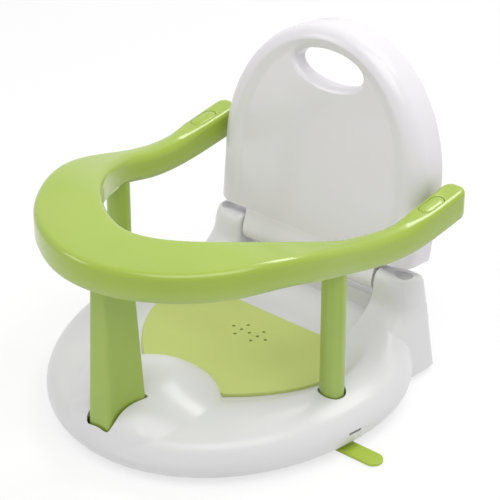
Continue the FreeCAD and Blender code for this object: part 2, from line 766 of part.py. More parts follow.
def rolled(slab, level, radius):
    """A backrest slab with the side and arch edges of its face at a depth rounded."""
    edges = [edge for edge in slab.Edges
             if abs(edge.BoundBox.YMax - level) < 0.01 and abs(edge.BoundBox.YMin - level) < 0.01
             and edge.BoundBox.ZMax > slab.BoundBox.ZMin + 1.0]
    return slab.makeFillet(radius, edges)


def backrest_shell():
    """Backrest moulding: rolled rim, sunken panel, carrying hole and the tongue with its round edge."""
    front = -size("backrest_front")
    rear = size("backrest_rear")
    wall = size("backrest_wall")
    reach = tongue_half_width()
    panel_face = front + size("panel_depth")
    bar = across_cylinder(-front, -reach, reach, 0.0, 0.0)
    tongue = Part.makeBox(2 * reach, -2 * front, size("backrest_shoulder") + wall, Vector(-reach, front, 0))
    body = rolled(backrest_slab(0.0, 0.0, front, rear), front, RIM_FRONT_ROUND)
    body = rolled(body, rear, RIM_REAR_ROUND).fuse([tongue, bar])
    recess = backrest_slab(size("rim_side_width"), size("rim_top_width"), front - 1.0, panel_face)
    side = size("backrest_half_width") - size("rim_side_width")
    lower = Part.makeBox(2 * side, size("panel_depth") + 1.0, 60.0, Vector(-side, front - 1.0, -front))
    body = body.cut([recess, lower])
    hollow = rolled(backrest_slab(wall, wall, panel_face + wall, rear + 1.0), panel_face + wall,
                    RIM_FRONT_ROUND - wall - size("panel_depth"))
    hollow = hollow.cut(handle_slab(wall, front, rear))
    body = body.cut(hollow)
    body = body.cut([handle_slab(0.0, front - 1.0, rear + 1.0)] + pin_holes_in_backrest())
    return solid_of(body)


def pin_holes_in_backrest():
    """Running holes for the hinge pins at both ends of the tongue's round edge."""
    reach = tongue_half_width()
    hole = across_cylinder(size("pin_radius") + size("pin_play"), reach - size("pin_engagement"),
                           reach + 1.0, 0.0, 0.0)
    return [hole, mirrored(hole)]


def backrest_cover():
    """Plain plate that closes the backrest from behind."""
    inset = size("backrest_wall") + size("cover_gap")
    rear = size("backrest_rear") - size("back_cover_inset")
    front = rear - size("backrest_wall")
    plate = backrest_slab(inset, inset, front, rear)
    return solid_of(plate.cut(handle_slab(inset, front - 1.0, rear + 1.0)))


def backrest_place():
    """Where the upright backrest goes: leaned back about its hinge axis."""
    return Placement(Vector(0, size("hinge_depth"), size("hinge_height")),
                     Rotation(Vector(1, 0, 0), -size("backrest_lean")))


# Turned pieces: side posts, hinge pins and suction cups

def side_post(label, side):
    """Round post with a narrower spigot that enters the ring."""
    shoulder = measure(post_top())
    top = shoulder + "post_spigot"
    body = turned_body(label, [
        (0, "post_foot"), ("post_radius", "post_foot"), ("post_radius", shoulder),
        ("post_spigot_radius", shoulder), ("post_spigot_radius", top), (0, top),
    ])
    body.Placement = Placement(Vector(side * size("post_half_spacing"), size("post_line"), 0), Rotation())
    return body


def hinge_pin(label, side):
    """Plain pin, pressed into an ear and free in the backrest."""
    length = measure("pin_engagement") + "ear_play" + "pin_seat"
    body = turned_body(label, [(0, 0), ("pin_radius", 0), ("pin_radius", length), (0, length)])
    start = size("ear_inner") - size("ear_play") - size("pin_engagement")
    turn = Rotation(Vector(0, 1, 0), 90 * side)
    body.Placement = Placement(Vector(side * start, size("hinge_depth"), size("hinge_height")), turn)
    return body


def suction_cup(label, place):
    """Soft cup with a hollow underside, a shoulder under the cover, a neck and a head above it."""
    shoulder = measure("cover_level") - "cover_gap"
    above = measure("cover_level") + "cover_thickness" + "cover_gap"
    top = above + "cup_head_height"
    body = turned_body(label, [
        (0, "cup_hollow"), (measure("cup_radius") * 0.5, measure("cup_hollow") * 0.72),
        (measure("cup_radius") - "cup_lip_flat", 0), ("cup_radius", 0), ("cup_radius", "cup_lip_height"),
        (measure("cup_radius") * 0.72, measure("cup_hollow") + "cup_lip_height"),
        ("cup_head_radius", shoulder), ("cup_neck_radius", shoulder), ("cup_neck_radius", above),
        ("cup_head_radius", above), ("cup_head_radius", top), (0, top),
    ])
    body.Placement = Placement(Vector(*place, 0), Rotation())
    return body


def pull_tab(cup, name, side):
    """A side cup with its pull tab, a flat strip with a round end that reaches out under the base."""
    start = measure("cup_side_place") + measure("cup_radius") * 0.7
    round_x = measure("tab_reach") - measure("tab_width") * 0.5
    inner = start if side > 0 else round_x * -1.0
    strip = doc.addObject("Part::Box", f"tab_strip_{name}")
    bind(strip, Length=round_x - start, Width="tab_width", Height="tab_thickness")
    bind(strip, **{"Placement.Base.x": inner,
                   "Placement.Base.y": measure("cup_side_line") - measure("tab_width") * 0.5,
                   "Placement.Base.z": "tab_level"})
    end = doc.addObject("Part::Cylinder", f"tab_end_{name}")
    bind(end, Radius=measure("tab_width") * 0.5, Height="tab_thickness")
    bind(end, **{"Placement.Base.x": round_x * side, "Placement.Base.y": "cup_side_line",
                 "Placement.Base.z": "tab_level"})
    whole = doc.addObject("Part::MultiFuse", f"suction_cup_{name}")
    whole.Shapes = [cup, strip, end]
    whole.Label = f"suction_cup_{name}"
    return whole


def octagon(radius, centre, across):
    """Closed eight-sided wire outline about a centre, in the plane of a direction and Z."""
    corners = []
    for step in range(9):
        turn = math.pi * (step + 0.5) / 4
        corners.append(centre + across * (radius * math.cos(turn)) + Vector(0, 0, radius * math.sin(turn)))
    return Part.makePolygon(corners)


def button_spring(side):
    """Coil spring below an arm button, standing on the floor of its pocket."""
    middle_x = side * (size("arm_end_outer") + size("arm_end_inner")) / 2
    middle_y = size("button_front") + size("button_length") / 2
    wire = size("spring_wire") / 2
    top = ring_top_at(middle_y) + size("button_proud") - size("button_height")
    floor = top - size("button_travel") - size("spring_space")
    height = top - floor - 2 * wire - 0.1
    radius = size("spring_radius")
    path = Part.makeHelix(height / size("spring_turns"), height, radius)
    section = octagon(wire, Vector(radius, 0, 0), Vector(1, 0, 0))
    coil = Part.Wire(path).makePipeShell([section], True, True)
    coil.translate(Vector(middle_x, middle_y, floor + wire + 0.05))
    return coil


def build():
    """Makes every sub-part and returns the objects that are written out."""
    place = backrest_place()
    parts = [
        feature("base_shell", base_shell()),
        feature("bottom_cover", bottom_cover()),
        feature("seat_mat", seat_mat()),
        feature("ring_upper", ring_upper()),
        feature("ring_cover", ring_cover()),
        feature("front_post", front_post()),
        feature("backrest_shell", backrest_shell()),
        feature("backrest_cover", backrest_cover()),
        side_post("post_left", -1),
        side_post("post_right", 1),
        hinge_pin("hinge_pin_left", -1),
        hinge_pin("hinge_pin_right", 1),
    ]
    for part in parts:
        if part.Label.startswith("backrest"):
            part.Placement = place
    for name, where in cup_places().items():
        if name in ("left", "right"):
            cup = suction_cup(f"cup_{name}_turned", where)
            parts.append(pull_tab(cup, name, 1 if name == "right" else -1))
        else:
            parts.append(suction_cup(f"suction_cup_{name}", where))
    for name, side in (("left", -1), ("right", 1)):
        parts.append(feature(f"button_{name}", button(side)))
        parts.append(feature(f"button_spring_{name}", button_spring(side)))
    return parts


def write(parts):
    """Checks every object and shape, then writes one file for each sub-part."""
    doc.recompute()
    for item in doc.Objects:
        if "Invalid" in item.State or "Error" in item.State:
            raise RuntimeError(f"{item.Name}: {item.State}")
    for part in parts:
        if part.Shape.isNull() or not part.Shape.isValid():
            raise RuntimeError(f"{part.Label}: shape is not valid")
    os.makedirs("parts", exist_ok=True)
    for part in parts:
        part.Shape.exportStep(f"parts/{part.Label}.step")
        print(part.Label, len(part.Shape.Solids), round(part.Shape.Volume), part.Shape.BoundBox)


write(build())
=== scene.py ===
"""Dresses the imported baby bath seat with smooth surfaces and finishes, on a plain pale stage.

Sizes in the classes are in millimetres and points are worked out in the seat's own frame: the seat
faces -Y, +Z is up and the origin is on the floor below the middle of the base.
"""

import logging
import math
from dataclasses import dataclass
from enum import Enum

import bmesh
import bpy
import numpy as np
from mathutils import Matrix, Vector


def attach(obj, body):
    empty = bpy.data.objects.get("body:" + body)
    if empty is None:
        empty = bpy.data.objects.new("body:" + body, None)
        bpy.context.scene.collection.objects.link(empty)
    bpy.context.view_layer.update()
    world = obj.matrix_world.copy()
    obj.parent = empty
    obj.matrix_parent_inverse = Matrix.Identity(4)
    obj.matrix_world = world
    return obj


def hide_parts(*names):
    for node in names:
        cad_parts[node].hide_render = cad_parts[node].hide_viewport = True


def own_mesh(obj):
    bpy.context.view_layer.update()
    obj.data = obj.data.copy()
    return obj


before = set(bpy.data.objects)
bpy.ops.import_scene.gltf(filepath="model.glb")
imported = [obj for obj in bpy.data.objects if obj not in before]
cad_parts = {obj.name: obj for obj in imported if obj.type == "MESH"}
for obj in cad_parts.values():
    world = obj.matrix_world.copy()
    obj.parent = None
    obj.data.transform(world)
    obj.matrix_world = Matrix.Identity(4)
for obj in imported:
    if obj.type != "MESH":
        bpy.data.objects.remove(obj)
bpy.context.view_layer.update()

LOG = logging.getLogger("bath_seat")
MM = 0.001
CREASE = 40.0
TONE_SPAN = (0.35, 0.65)
# Pointiness range over which the painted edge highlight fades in.
EDGE_HIGHLIGHT_SPAN = (0.52, 0.62)


class Side(Enum):
    """The two sides of the seat, valued by the sign of X."""

    LEFT = -1
    RIGHT = 1


class Join(Enum):
    """How one closed form is joined to another."""

    ADD = "UNION"
    CUT = "DIFFERENCE"


# Curves and numbers


def spline(knots: list, count: int, first: tuple | None = None, last: tuple | None = None) -> np.ndarray:
    """Smooth curve through knots: piecewise cubics with equal curvature on both sides of each knot.

    Args:
        knots: Points that the curve passes, spaced by their chords.
        count: How many points come back, evenly spread over the chords.
        first: Direction at the first knot, or None to leave it free.
        last: Direction at the last knot, or None to leave it free.

    Returns:
        Array of count points.
    """
    points = np.asarray(knots, float)
    chord = np.linalg.norm(np.diff(points, axis=0), axis=1)
    place = np.concatenate([[0.0], np.cumsum(chord)])
    slope = np.diff(points, axis=0) / chord[:, None]
    size = len(points)
    system = np.zeros((size, size))
    right = np.zeros_like(points)
    inner = np.arange(1, size - 1)
    system[inner, inner - 1] = chord[1:]
    system[inner, inner] = 2.0 * (chord[1:] + chord[:-1])
    system[inner, inner + 1] = chord[:-1]
    right[1:-1] = 3.0 * (chord[1:, None] * slope[:-1] + chord[:-1, None] * slope[1:])
    system[0, :2] = (2.0, 1.0) if first is None else (1.0, 0.0)
    right[0] = 3.0 * slope[0] if first is None else first
    system[-1, -2:] = (1.0, 2.0) if last is None else (0.0, 1.0)
    right[-1] = 3.0 * slope[-1] if last is None else last
    speed = np.linalg.solve(system, right)
    where = np.linspace(0.0, place[-1], count)
    span = np.clip(np.searchsorted(place, where, side="right") - 1, 0, size - 2)
    long = chord[span][:, None]
    t = (where - place[span])[:, None] / long
    return ((1 + 2 * t) * (1 - t) ** 2 * points[span] + t * (1 - t) ** 2 * long * speed[span]
            + t * t * (3 - 2 * t) * points[span + 1] + t * t * (t - 1) * long * speed[span + 1])


def ease(t: np.ndarray) -> np.ndarray:
    """Smooth step from 0 to 1: 3 t squared less 2 t cubed, flat outside."""
    t = np.clip(t, 0.0, 1.0)
    return t * t * (3.0 - 2.0 * t)


def edge_drop(distance: np.ndarray, radius: np.ndarray | float) -> np.ndarray:
    """How far a surface sinks near an edge: a quarter circle of the radius, nothing beyond it."""
    inside = np.clip(radius - distance, 0.0, radius)
    return radius - np.sqrt(np.maximum(radius * radius - inside * inside, 0.0))


def soft_max(first: np.ndarray, second: np.ndarray, blend: float) -> np.ndarray:
    """The larger of two heights, rounded over a blend width where they are alike."""
    near = np.clip(0.5 + 0.5 * (first - second) / blend, 0.0, 1.0)
    return second * (1 - near) + first * near + blend * near * (1 - near)


def round_outline(points: np.ndarray, width: float) -> np.ndarray:
    """Closed outline with its corners rounded by a running mean over a length, taken twice."""
    step = np.linalg.norm(np.diff(points, axis=0, append=points[:1]), axis=1).mean()
    reach = max(1, int(round(width / step / 2)))
    kernel = np.ones(2 * reach + 1) / (2 * reach + 1)
    for _ in range(2):
        padded = np.concatenate([points[-reach:], points, points[:reach]])
        points = np.stack([np.convolve(padded[:, axis], kernel, "valid") for axis in (0, 1)], axis=1)
    return points


def even_outline(corners: list | np.ndarray, count: int) -> np.ndarray:
    """Points evenly spaced along a closed run of corners, by interpolation over its length."""
    ring = np.concatenate([corners, corners[:1]])
    place = np.concatenate([[0.0], np.cumsum(np.linalg.norm(np.diff(ring, axis=0), axis=1))])
    where = np.linspace(0.0, place[-1], count, endpoint=False)
    return np.stack([np.interp(where, place, ring[:, axis]) for axis in (0, 1)], axis=1)


def full_turn(count: int) -> np.ndarray:
    """Angles spread evenly round a full turn."""
    return np.linspace(0.0, 2 * math.pi, count, endpoint=False)


def quarter(count: int) -> np.ndarray:
    """Angles from 0 to a right angle."""
    return np.linspace(0.0, math.pi / 2, count)


def bent(wave: np.ndarray, power: np.ndarray | float) -> np.ndarray:
    """A sine or cosine raised to a power with its sign kept, for superellipses."""
    return np.sign(wave) * np.abs(wave) ** power


def circle(radius: float, at: tuple = (0.0, 0.0), count: int = 48) -> np.ndarray:
    """Closed circle of points about a place."""
    turn = full_turn(count)
    return np.stack([at[0] + radius * np.cos(turn), at[1] + radius * np.sin(turn)], axis=1)


def stadium(half_width: float, length: float, count: int) -> np.ndarray:
    """Closed outline of two half circles joined by straight sides, long along Y, middle at 0."""
    turn = full_turn(count)
    shift = np.where(np.sin(turn) >= 0, 1.0, -1.0) * (length / 2 - half_width)
    return np.stack([half_width * np.cos(turn), half_width * np.sin(turn) + shift], axis=1)


# Meshes


def grid_faces(rows: int, columns: int, wrap: bool) -> np.ndarray:
    """Quads of a grid of points, row by row, closed across the columns where wrap is set."""
    last = columns if wrap else columns - 1
    row, column = np.meshgrid(np.arange(rows - 1), np.arange(last), indexing="ij")
    ahead = (column + 1) % columns
    corners = [row * columns + column, row * columns + ahead, (row + 1) * columns + ahead,
               (row + 1) * columns + column]
    return np.stack(corners, axis=-1).reshape(-1, 4)


def linked(name: str, data: bpy.types.ID) -> bpy.types.Object:
    """Makes an object of some data and links it to the scene."""
    item = bpy.data.objects.new(name, data)
    bpy.context.scene.collection.objects.link(item)
    return item


class Surface:
    """Collects grids and flat caps, and makes one closed mesh of them."""

    def __init__(self) -> None:
        """Starts with no points and no faces."""
        self.points, self.faces, self.count = [], [], 0

    def grid(self, points: np.ndarray, wrap: bool = False) -> np.ndarray:
        """Adds a grid of points.

        Args:
            points: Array of rows by columns by 3, in millimetres.
            wrap: Whether the last column joins the first.

        Returns:
            The points' numbers, as an array of rows by columns.
        """
        rows, columns = points.shape[:2]
        self.faces.extend((grid_faces(rows, columns, wrap) + self.count).tolist())
        self.points.append(points.reshape(-1, 3))
        numbers = np.arange(rows * columns).reshape(rows, columns) + self.count
        self.count += rows * columns
        return numbers

    def cap(self, numbers: np.ndarray) -> None:
        """Closes a loop of points with one flat face."""
        self.faces.append([int(number) for number in numbers])

    def make(self, name: str, sharp: float = CREASE) -> bpy.types.Object:
        """Makes the mesh object: doubles merged, faces outwards, smooth below an angle.

        Args:
            name: Name of the object.
            sharp: Angle in degrees above which an edge stays crisp.

        Returns:
            The new object, linked to the scene.
        """
        mesh = bpy.data.meshes.new(name)
        mesh.from_pydata((np.concatenate(self.points) * MM).tolist(), [], self.faces)
        item = linked(name, mesh)
        clean(item, sharp)
        return item


def clean(item: bpy.types.Object, sharp: float) -> None:
    """Merges doubles, points the faces outwards and keeps edges crisp above an angle in degrees."""
    work = bmesh.new()
    work.from_mesh(item.data)
    bmesh.ops.remove_doubles(work, verts=work.verts, dist=0.01 * MM)
    bmesh.ops.dissolve_degenerate(work, edges=work.edges, dist=0.005 * MM)
    bmesh.ops.recalc_face_normals(work, faces=work.faces)
    work.to_mesh(item.data)
    work.free()
    item.data.polygons.foreach_set("use_smooth", np.ones(len(item.data.polygons), bool))
    item.data.set_sharp_from_angle(angle=math.radians(sharp))
    item.data.update()


def settle(item: bpy.types.Object) -> None:
    """Applies the modifiers of an object to its mesh."""
    bpy.context.view_layer.update()
    graph = bpy.context.evaluated_depsgraph_get()
    fresh = bpy.data.meshes.new_from_object(item.evaluated_get(graph))
    item.modifiers.clear()
    item.data = fresh


def combine(item: bpy.types.Object, tools: list, join: Join, sharp: float = CREASE) -> None:
    """Joins closed forms to an object or cuts them from it, and removes them.

    Args:
        item: The object that is changed.
        tools: Closed objects that don't touch each other.
        join: Whether they are added or cut away.
        sharp: Angle in degrees above which an edge stays crisp.
    """
    for tool in tools:
        step = item.modifiers.new("join", "BOOLEAN")
        step.operation = join.value
        step.solver = "EXACT"
        step.object = tool
        settle(item)
        bpy.data.objects.remove(tool)
    clean(item, sharp)


def loft(name: str, loops: list | np.ndarray, sharp: float = CREASE, capped: bool = True) -> bpy.types.Object:
    """Form through closed loops of points, with a flat cap at both ends unless they end in a point.

    Args:
        name: Name of the object.
        loops: Loops with the same number of points, in millimetres.
        sharp: Angle in degrees above which an edge stays crisp.
        capped: Whether the ends get flat caps.

    Returns:
        The new object.
    """
    form = Surface()
    numbers = form.grid(np.stack(loops), wrap=True)
    if capped:
        form.cap(numbers[0])
        form.cap(numbers[-1])
    return form.make(name, sharp)


def at_height(outline: np.ndarray, height: np.ndarray | float) -> np.ndarray:
    """Points of an outline of X and Y at a height."""
    return np.column_stack([outline, np.full(len(outline), height)])


def prism(name: str, outline: np.ndarray, low: float, high: float) -> bpy.types.Object:
    """Upright form over a closed outline of X and Y, between two levels."""
    return loft(name, [at_height(outline, level) for level in (low, high)])


def bar(name: str, section: np.ndarray, start: float, end: float) -> bpy.types.Object:
    """Form of a closed section of Y and Z, carried along X."""
    return loft(name, [np.column_stack([np.full(len(section), at), section]) for at in (start, end)])


def spun(name: str, radii: np.ndarray, levels: np.ndarray, middle: tuple, count: int) -> bpy.types.Object:
    """Form turned about an upright axis, from its radii along X and Y at each level."""
    turn = full_turn(count)
    x = middle[0] + radii[:, 0:1] * np.cos(turn)
    y = middle[1] + radii[:, 1:2] * np.sin(turn)
    z = np.repeat(levels[:, None], count, axis=1)
    return loft(name, np.stack([x, y, z], axis=-1), capped=False)


# Finishes


def srgb(red: int, green: int, blue: int) -> tuple:
    """Shader colour of a screen colour given in 0 to 255."""
    parts = np.array([red, green, blue]) / 255.0
    linear = np.where(parts <= 0.04045, parts / 12.92, ((parts + 0.055) / 1.055) ** 2.4)
    return (*[float(part) for part in linear], 1.0)


def fill(item: bpy.types.Node, **values: float | tuple) -> bpy.types.Node:
    """Sets inputs of a shader node; an underscore stands for a space in their names."""
    for name, value in values.items():
        item.inputs[name.replace("_", " ")].default_value = value
    return item


def add_node(tree: bpy.types.NodeTree, kind: str, **values: float | tuple) -> bpy.types.Node:
    """Adds a shader node and sets some of its inputs."""
    return fill(tree.nodes.new(f"ShaderNode{kind}"), **values)


def link_all(tree: bpy.types.NodeTree, *pairs: tuple) -> None:
    """Links pairs of an output and an input."""
    for start, end in pairs:
        tree.links.new(start, end)


@dataclass(frozen=True)
class Finish:
    """A moulded material: two close tones in soft clouds, an uneven gloss, a fine skin and, where set, a
    painted highlight along convex edges.
    """

    name: str
    colour: tuple
    shade: tuple
    roughness: float
    gloss_spread: float
    cloud_scale: float
    skin_scale: float
    skin_depth: float
    coat: float = 0.0
    metallic: float = 0.0
    # Share of white mixed in as a painted highlight along convex edges.
    edge_highlight: float = 0.0

    def material(self) -> bpy.types.Material:
        """Builds the node tree on Object coordinates.

        Returns:
            The new material.
        """
        made = bpy.data.materials.new(self.name)
        made.use_nodes = True
        tree = made.node_tree
        shader = fill(tree.nodes["Principled BSDF"], Metallic=self.metallic, Coat_Weight=self.coat,
                      Coat_Roughness=0.06)
        place = add_node(tree, "TexCoord").outputs["Object"]
        clouds = add_node(tree, "TexNoise", Scale=self.cloud_scale, Detail=3.0)
        tones = add_node(tree, "ValToRGB")
        for stop, position, tone in zip(tones.color_ramp.elements, TONE_SPAN, (self.shade, self.colour)):
            stop.position, stop.color = position, tone
        gloss = add_node(tree, "MapRange", To_Min=self.roughness - self.gloss_spread,
                         To_Max=self.roughness + self.gloss_spread)
        skin = add_node(tree, "TexNoise", Scale=self.skin_scale, Detail=2.0)
        bump = add_node(tree, "Bump", Strength=0.5, Distance=self.skin_depth * MM)
        link_all(tree, (place, clouds.inputs["Vector"]), (place, skin.inputs["Vector"]),
                 (clouds.outputs["Fac"], tones.inputs["Fac"]),
                 (clouds.outputs["Fac"], gloss.inputs["Value"]),
                 # Base colour with the painted edge highlight mixed in.
                 (self.painted_edge_highlight(tree, tones.outputs["Color"]), shader.inputs["Base Color"]),
                 (gloss.outputs["Result"], shader.inputs["Roughness"]),
                 (skin.outputs["Fac"], bump.inputs["Height"]),
                 (bump.outputs["Normal"], shader.inputs["Normal"]))
        return made

    def painted_edge_highlight(self, tree: bpy.types.NodeTree, colour: bpy.types.NodeSocket) -> bpy.types.NodeSocket:
        """Paints a highlight: lightens the colour towards white along convex edges, by the surface's
        pointiness.

        Args:
            tree: Node tree of the material.
            colour: The colour before the painted highlight.

        Returns:
            The colour with the painted edge highlight.
        """
        if self.edge_highlight == 0:
            return colour
        shape = add_node(tree, "NewGeometry")
        span = add_node(tree, "MapRange", From_Min=EDGE_HIGHLIGHT_SPAN[0], From_Max=EDGE_HIGHLIGHT_SPAN[1], To_Max=self.edge_highlight)
        blend = tree.nodes.new("ShaderNodeMix")
        blend.data_type = "RGBA"
        fill(blend, B=(1.0, 1.0, 1.0, 1.0))
        link_all(tree, (shape.outputs["Pointiness"], span.inputs["Value"]),
                 (span.outputs["Result"], blend.inputs["Factor"]), (colour, blend.inputs["A"]))
        return blend.outputs["Result"]


# Finishes with an edge value get a painted highlight: their colour is lightened towards white along convex
# edges.
WHITE_SHELL = Finish("white_shell", srgb(221, 220, 222), srgb(217, 216, 218), 0.33, 0.03, 9.0, 260.0, 0.02,
                     coat=0.12, edge_highlight=0.10)
WHITE_BACK = Finish("white_back", srgb(226, 223, 228), srgb(222, 219, 223), 0.26, 0.03, 9.0, 260.0, 0.02,
                    coat=0.25, edge_highlight=0.10)
GREEN_RING = Finish("green_ring", srgb(157, 181, 61), srgb(153, 177, 57), 0.24, 0.03, 11.0, 300.0, 0.02,
                    coat=0.3, edge_highlight=0.12)
GREEN_POST = Finish("green_post", srgb(151, 177, 49), srgb(146, 172, 45), 0.30, 0.03, 14.0, 300.0, 0.02,
                    coat=0.15, edge_highlight=0.08)
SOFT_MAT = Finish("soft_mat", srgb(194, 206, 120), srgb(189, 201, 115), 0.62, 0.05, 14.0, 1400.0, 0.06)
SOFT_CUP = Finish("soft_cup", srgb(166, 190, 62), srgb(160, 184, 57), 0.38, 0.05, 20.0, 500.0, 0.04)
PIN_WHITE = Finish("pin_white", srgb(205, 205, 203), srgb(198, 198, 195), 0.4, 0.05, 40.0, 600.0, 0.03)
SPRING_WIRE = Finish("spring_wire", srgb(178, 180, 182), srgb(160, 162, 165), 0.3, 0.05, 200.0, 2000.0, 0.02,
                     metallic=1.0)


# Base


@dataclass
class Base:
    """White base: a hollow dome that rolls over its crest into the sunken seat, with hump and ears."""

    wall: float = 3.0
    columns: int = 336
    crowding: float = 0.35
    hump_centre: tuple = (0.0, -98.5, 21.0)
    hump_half: tuple = (59.0, 62.0, 38.0)
    hump_blend: float = 16.0
    hump_entry: float = 8.0
    ramp_inner: float = 68.0
    ramp_fade: float = 16.0
    ramp_blend: float = 9.0
    ramp_entry: float = 30.0
    dent_corners: tuple = ((14.5, -137.0), (45.0, -147.0), (59.0, -106.0))
    dent_edges: tuple = (4.5, 12.0, 16.0)
    dent_depth: float = 1.1
    dent_level: float = 24.0
    dent_entry: float = 8.0
    flat_back: float = 130.0
    ear_inner: float = 72.0
    ear_foot: float = 4.5
    ear_top: float = 87.0
    ear_widths: tuple = (49.5, 35.0)
    ear_edge: float = 3.0
    ear_corner: float = 8.0
    ear_slope: float = 4.0
    ear_neck: float = 60.0
    ear_entry: float = 25.0
    ear_middle: float = 17.0
    ear_past: float = 0.06
    recess_place: tuple = (94.0, 117.0)
    recess_half: tuple = (8.5, 8.0)
    recess_depth: float = 4.0
    recess_sink: float = 0.6
    transom_half: float = 74.0
    transom_depths: tuple = (112.0, 129.9)
    transom_levels: tuple = (33.0, 57.0)
    transom_round: float = 3.0
    post_places: tuple = ((-114.0, -4.0), (114.0, -4.0))
    socket_radius: float = 11.5
    socket_top: float = 70.0
    socket_gap: float = 2.0
    post_foot: float = 20.0
    slit_place: tuple = (-12.0, 19.5)
    slit_half: tuple = (6.5, 1.2)
    slit_reach: tuple = (138.0, 153.0)
    drain_pitch: float = 8.6
    drain_row: float = 30.0
    drain_radius: float = 1.5
    drain_levels: tuple = (20.0, 40.0)

    def rows(self) -> np.ndarray:
        """Rows of the skin from the lower rim over the crest to the middle of the floor.

        Returns:
            Array of half width, reach in front, reach behind, middle Y, height and the power of the
            front half's superellipse.
        """
        knots = [(137.4, 166.4, 126.2, 18.7, 3.0, 2.0), (143.3, 173.6, 131.6, 19.5, 8.6, 2.0),
                 (147.0, 178.0, 135.0, 20.0, 18.2, 2.0), (144.1, 174.4, 132.3, 19.6, 28.6, 2.0),
                 (133.8, 162.0, 122.9, 18.2, 37.0, 2.0), (122.7, 147.0, 112.7, 17.0, 41.4, 1.9),
                 (114.5, 134.0, 104.0, 17.0, 42.8, 1.75), (109.3, 124.0, 97.0, 17.5, 41.6, 1.65),
                 (105.5, 115.0, 90.0, 18.0, 38.4, 1.6), (102.0, 107.0, 82.0, 18.5, 34.4, 1.55),
                 (98.5, 101.0, 74.0, 19.0, 31.3, 1.5), (95.0, 96.0, 67.0, 20.0, 30.0, 1.5),
                 (86.0, 86.0, 60.0, 20.0, 30.0, 1.55)]
        side = spline(knots, 80)
        inward = np.linspace(1.0, 0.0, 24)[1:, None] ** 0.9
        floor = np.concatenate([side[-1:, :3] * inward, np.repeat(side[-1:, 3:], len(inward), axis=0)],
                               axis=1)
        return np.concatenate([side, floor])

    def skin(self) -> np.ndarray:
        """Surface without its dents: egg outlines stacked along the rows, raised to the hump."""
        rows = self.rows()
        even = full_turn(self.columns)
        turn = even - self.crowding * np.cos(even)
        front = np.sin(turn) < 0
        power = np.where(front, 2.0 / rows[:, 5:6], 1.0)
        x = rows[:, 0:1] * bent(np.cos(turn), power)
        y = np.where(front, rows[:, 1:2], rows[:, 2:3]) * bent(np.sin(turn), power) + rows[:, 3:4]
        z = np.repeat(rows[:, 4:5], self.columns, axis=1)
        past = np.maximum(np.arange(len(rows)) - int(np.argmax(rows[:, 0])), 0)[:, None]
        raised = soft_max(z, self.hump(x, y), self.hump_blend)
        z = z + (raised - z) * ease(past / self.hump_entry)
        raised = soft_max(z, self.ramp(y), self.ramp_blend)
        z = z + ((raised - z) * ease(past / self.ramp_entry)
                 * ease((np.abs(x) - self.ramp_inner) / self.ramp_fade))
        return np.stack([x, y, z], axis=-1)

    def hump(self, x: np.ndarray, y: np.ndarray) -> np.ndarray:
        """Height of the hump between the legs, falling away steeply outside its footprint."""
        middle, half = self.hump_centre, self.hump_half
        inside = 1.0 - ((x - middle[0]) / half[0]) ** 2 - ((y - middle[1]) / half[1]) ** 2
        return middle[2] + half[2] * np.sign(inside) * np.sqrt(np.abs(inside))

    def ramp(self, y: np.ndarray) -> np.ndarray:
        """Height that the base sweeps up to along Y before it meets the ears."""
        line = spline([(36.0, 22.0), (50.0, 34.0), (60.0, 40.0), (70.0, 44.0), (80.0, 48.0), (88.0, 52.0),
                       (94.0, 56.0), (98.0, 59.0)], 120)
        return np.interp(y, line[:, 0], line[:, 1])

    def dent(self, x: np.ndarray, y: np.ndarray) -> np.ndarray:
        """Depth of the three-cornered dents beside the front post, each edge eased over its own width."""
        depth = np.full_like(x, self.dent_depth)
        corners = self.dent_corners
        for index, width in enumerate(self.dent_edges):
            start, end = np.array(corners[index]), np.array(corners[(index + 1) % 3])
            along = (end - start) / np.linalg.norm(end - start)
            inside = along[0] * (y - start[1]) - along[1] * (np.abs(x) - start[0])
            depth = depth * ease(inside / width)
        return depth

    def dented(self, skin: np.ndarray) -> np.ndarray:
        """The surface sunk by its dents on top, and unchanged below."""
        share = ease((skin[..., 2] - self.dent_level) / self.dent_entry)
        depth = self.dent(skin[..., 0], skin[..., 1]) * share
        return skin - depth[..., None] * np.array([0.0, 0.0, 1.0])

    def shell(self) -> bpy.types.Object:
        """The hollow dome: the skin and a copy of it moved in by the wall, joined at the lower rim."""
        skin = self.skin()
        along = np.gradient(skin, axis=0)
        around = np.roll(skin, -1, axis=1) - np.roll(skin, 1, axis=1)
        normal = np.cross(around, along)
        length = np.linalg.norm(normal, axis=-1, keepdims=True)
        normal = np.where(length > 1e-6, normal / np.maximum(length, 1e-6), [0.0, 0.0, 1.0])
        inner = skin - normal * self.wall
        inner[0, :, 2] = skin[0, :, 2]
        outer, inner = self.dented(skin), self.dented(inner)
        outer[..., 1] = np.minimum(outer[..., 1], self.flat_back)
        inner[..., 1] = np.minimum(inner[..., 1], self.flat_back - self.wall)
        inner[-1] = inner[-1].mean(axis=0)
        form = Surface()
        form.grid(np.concatenate([outer[::-1], inner]), wrap=True)
        return form.make("base_shell_skin")

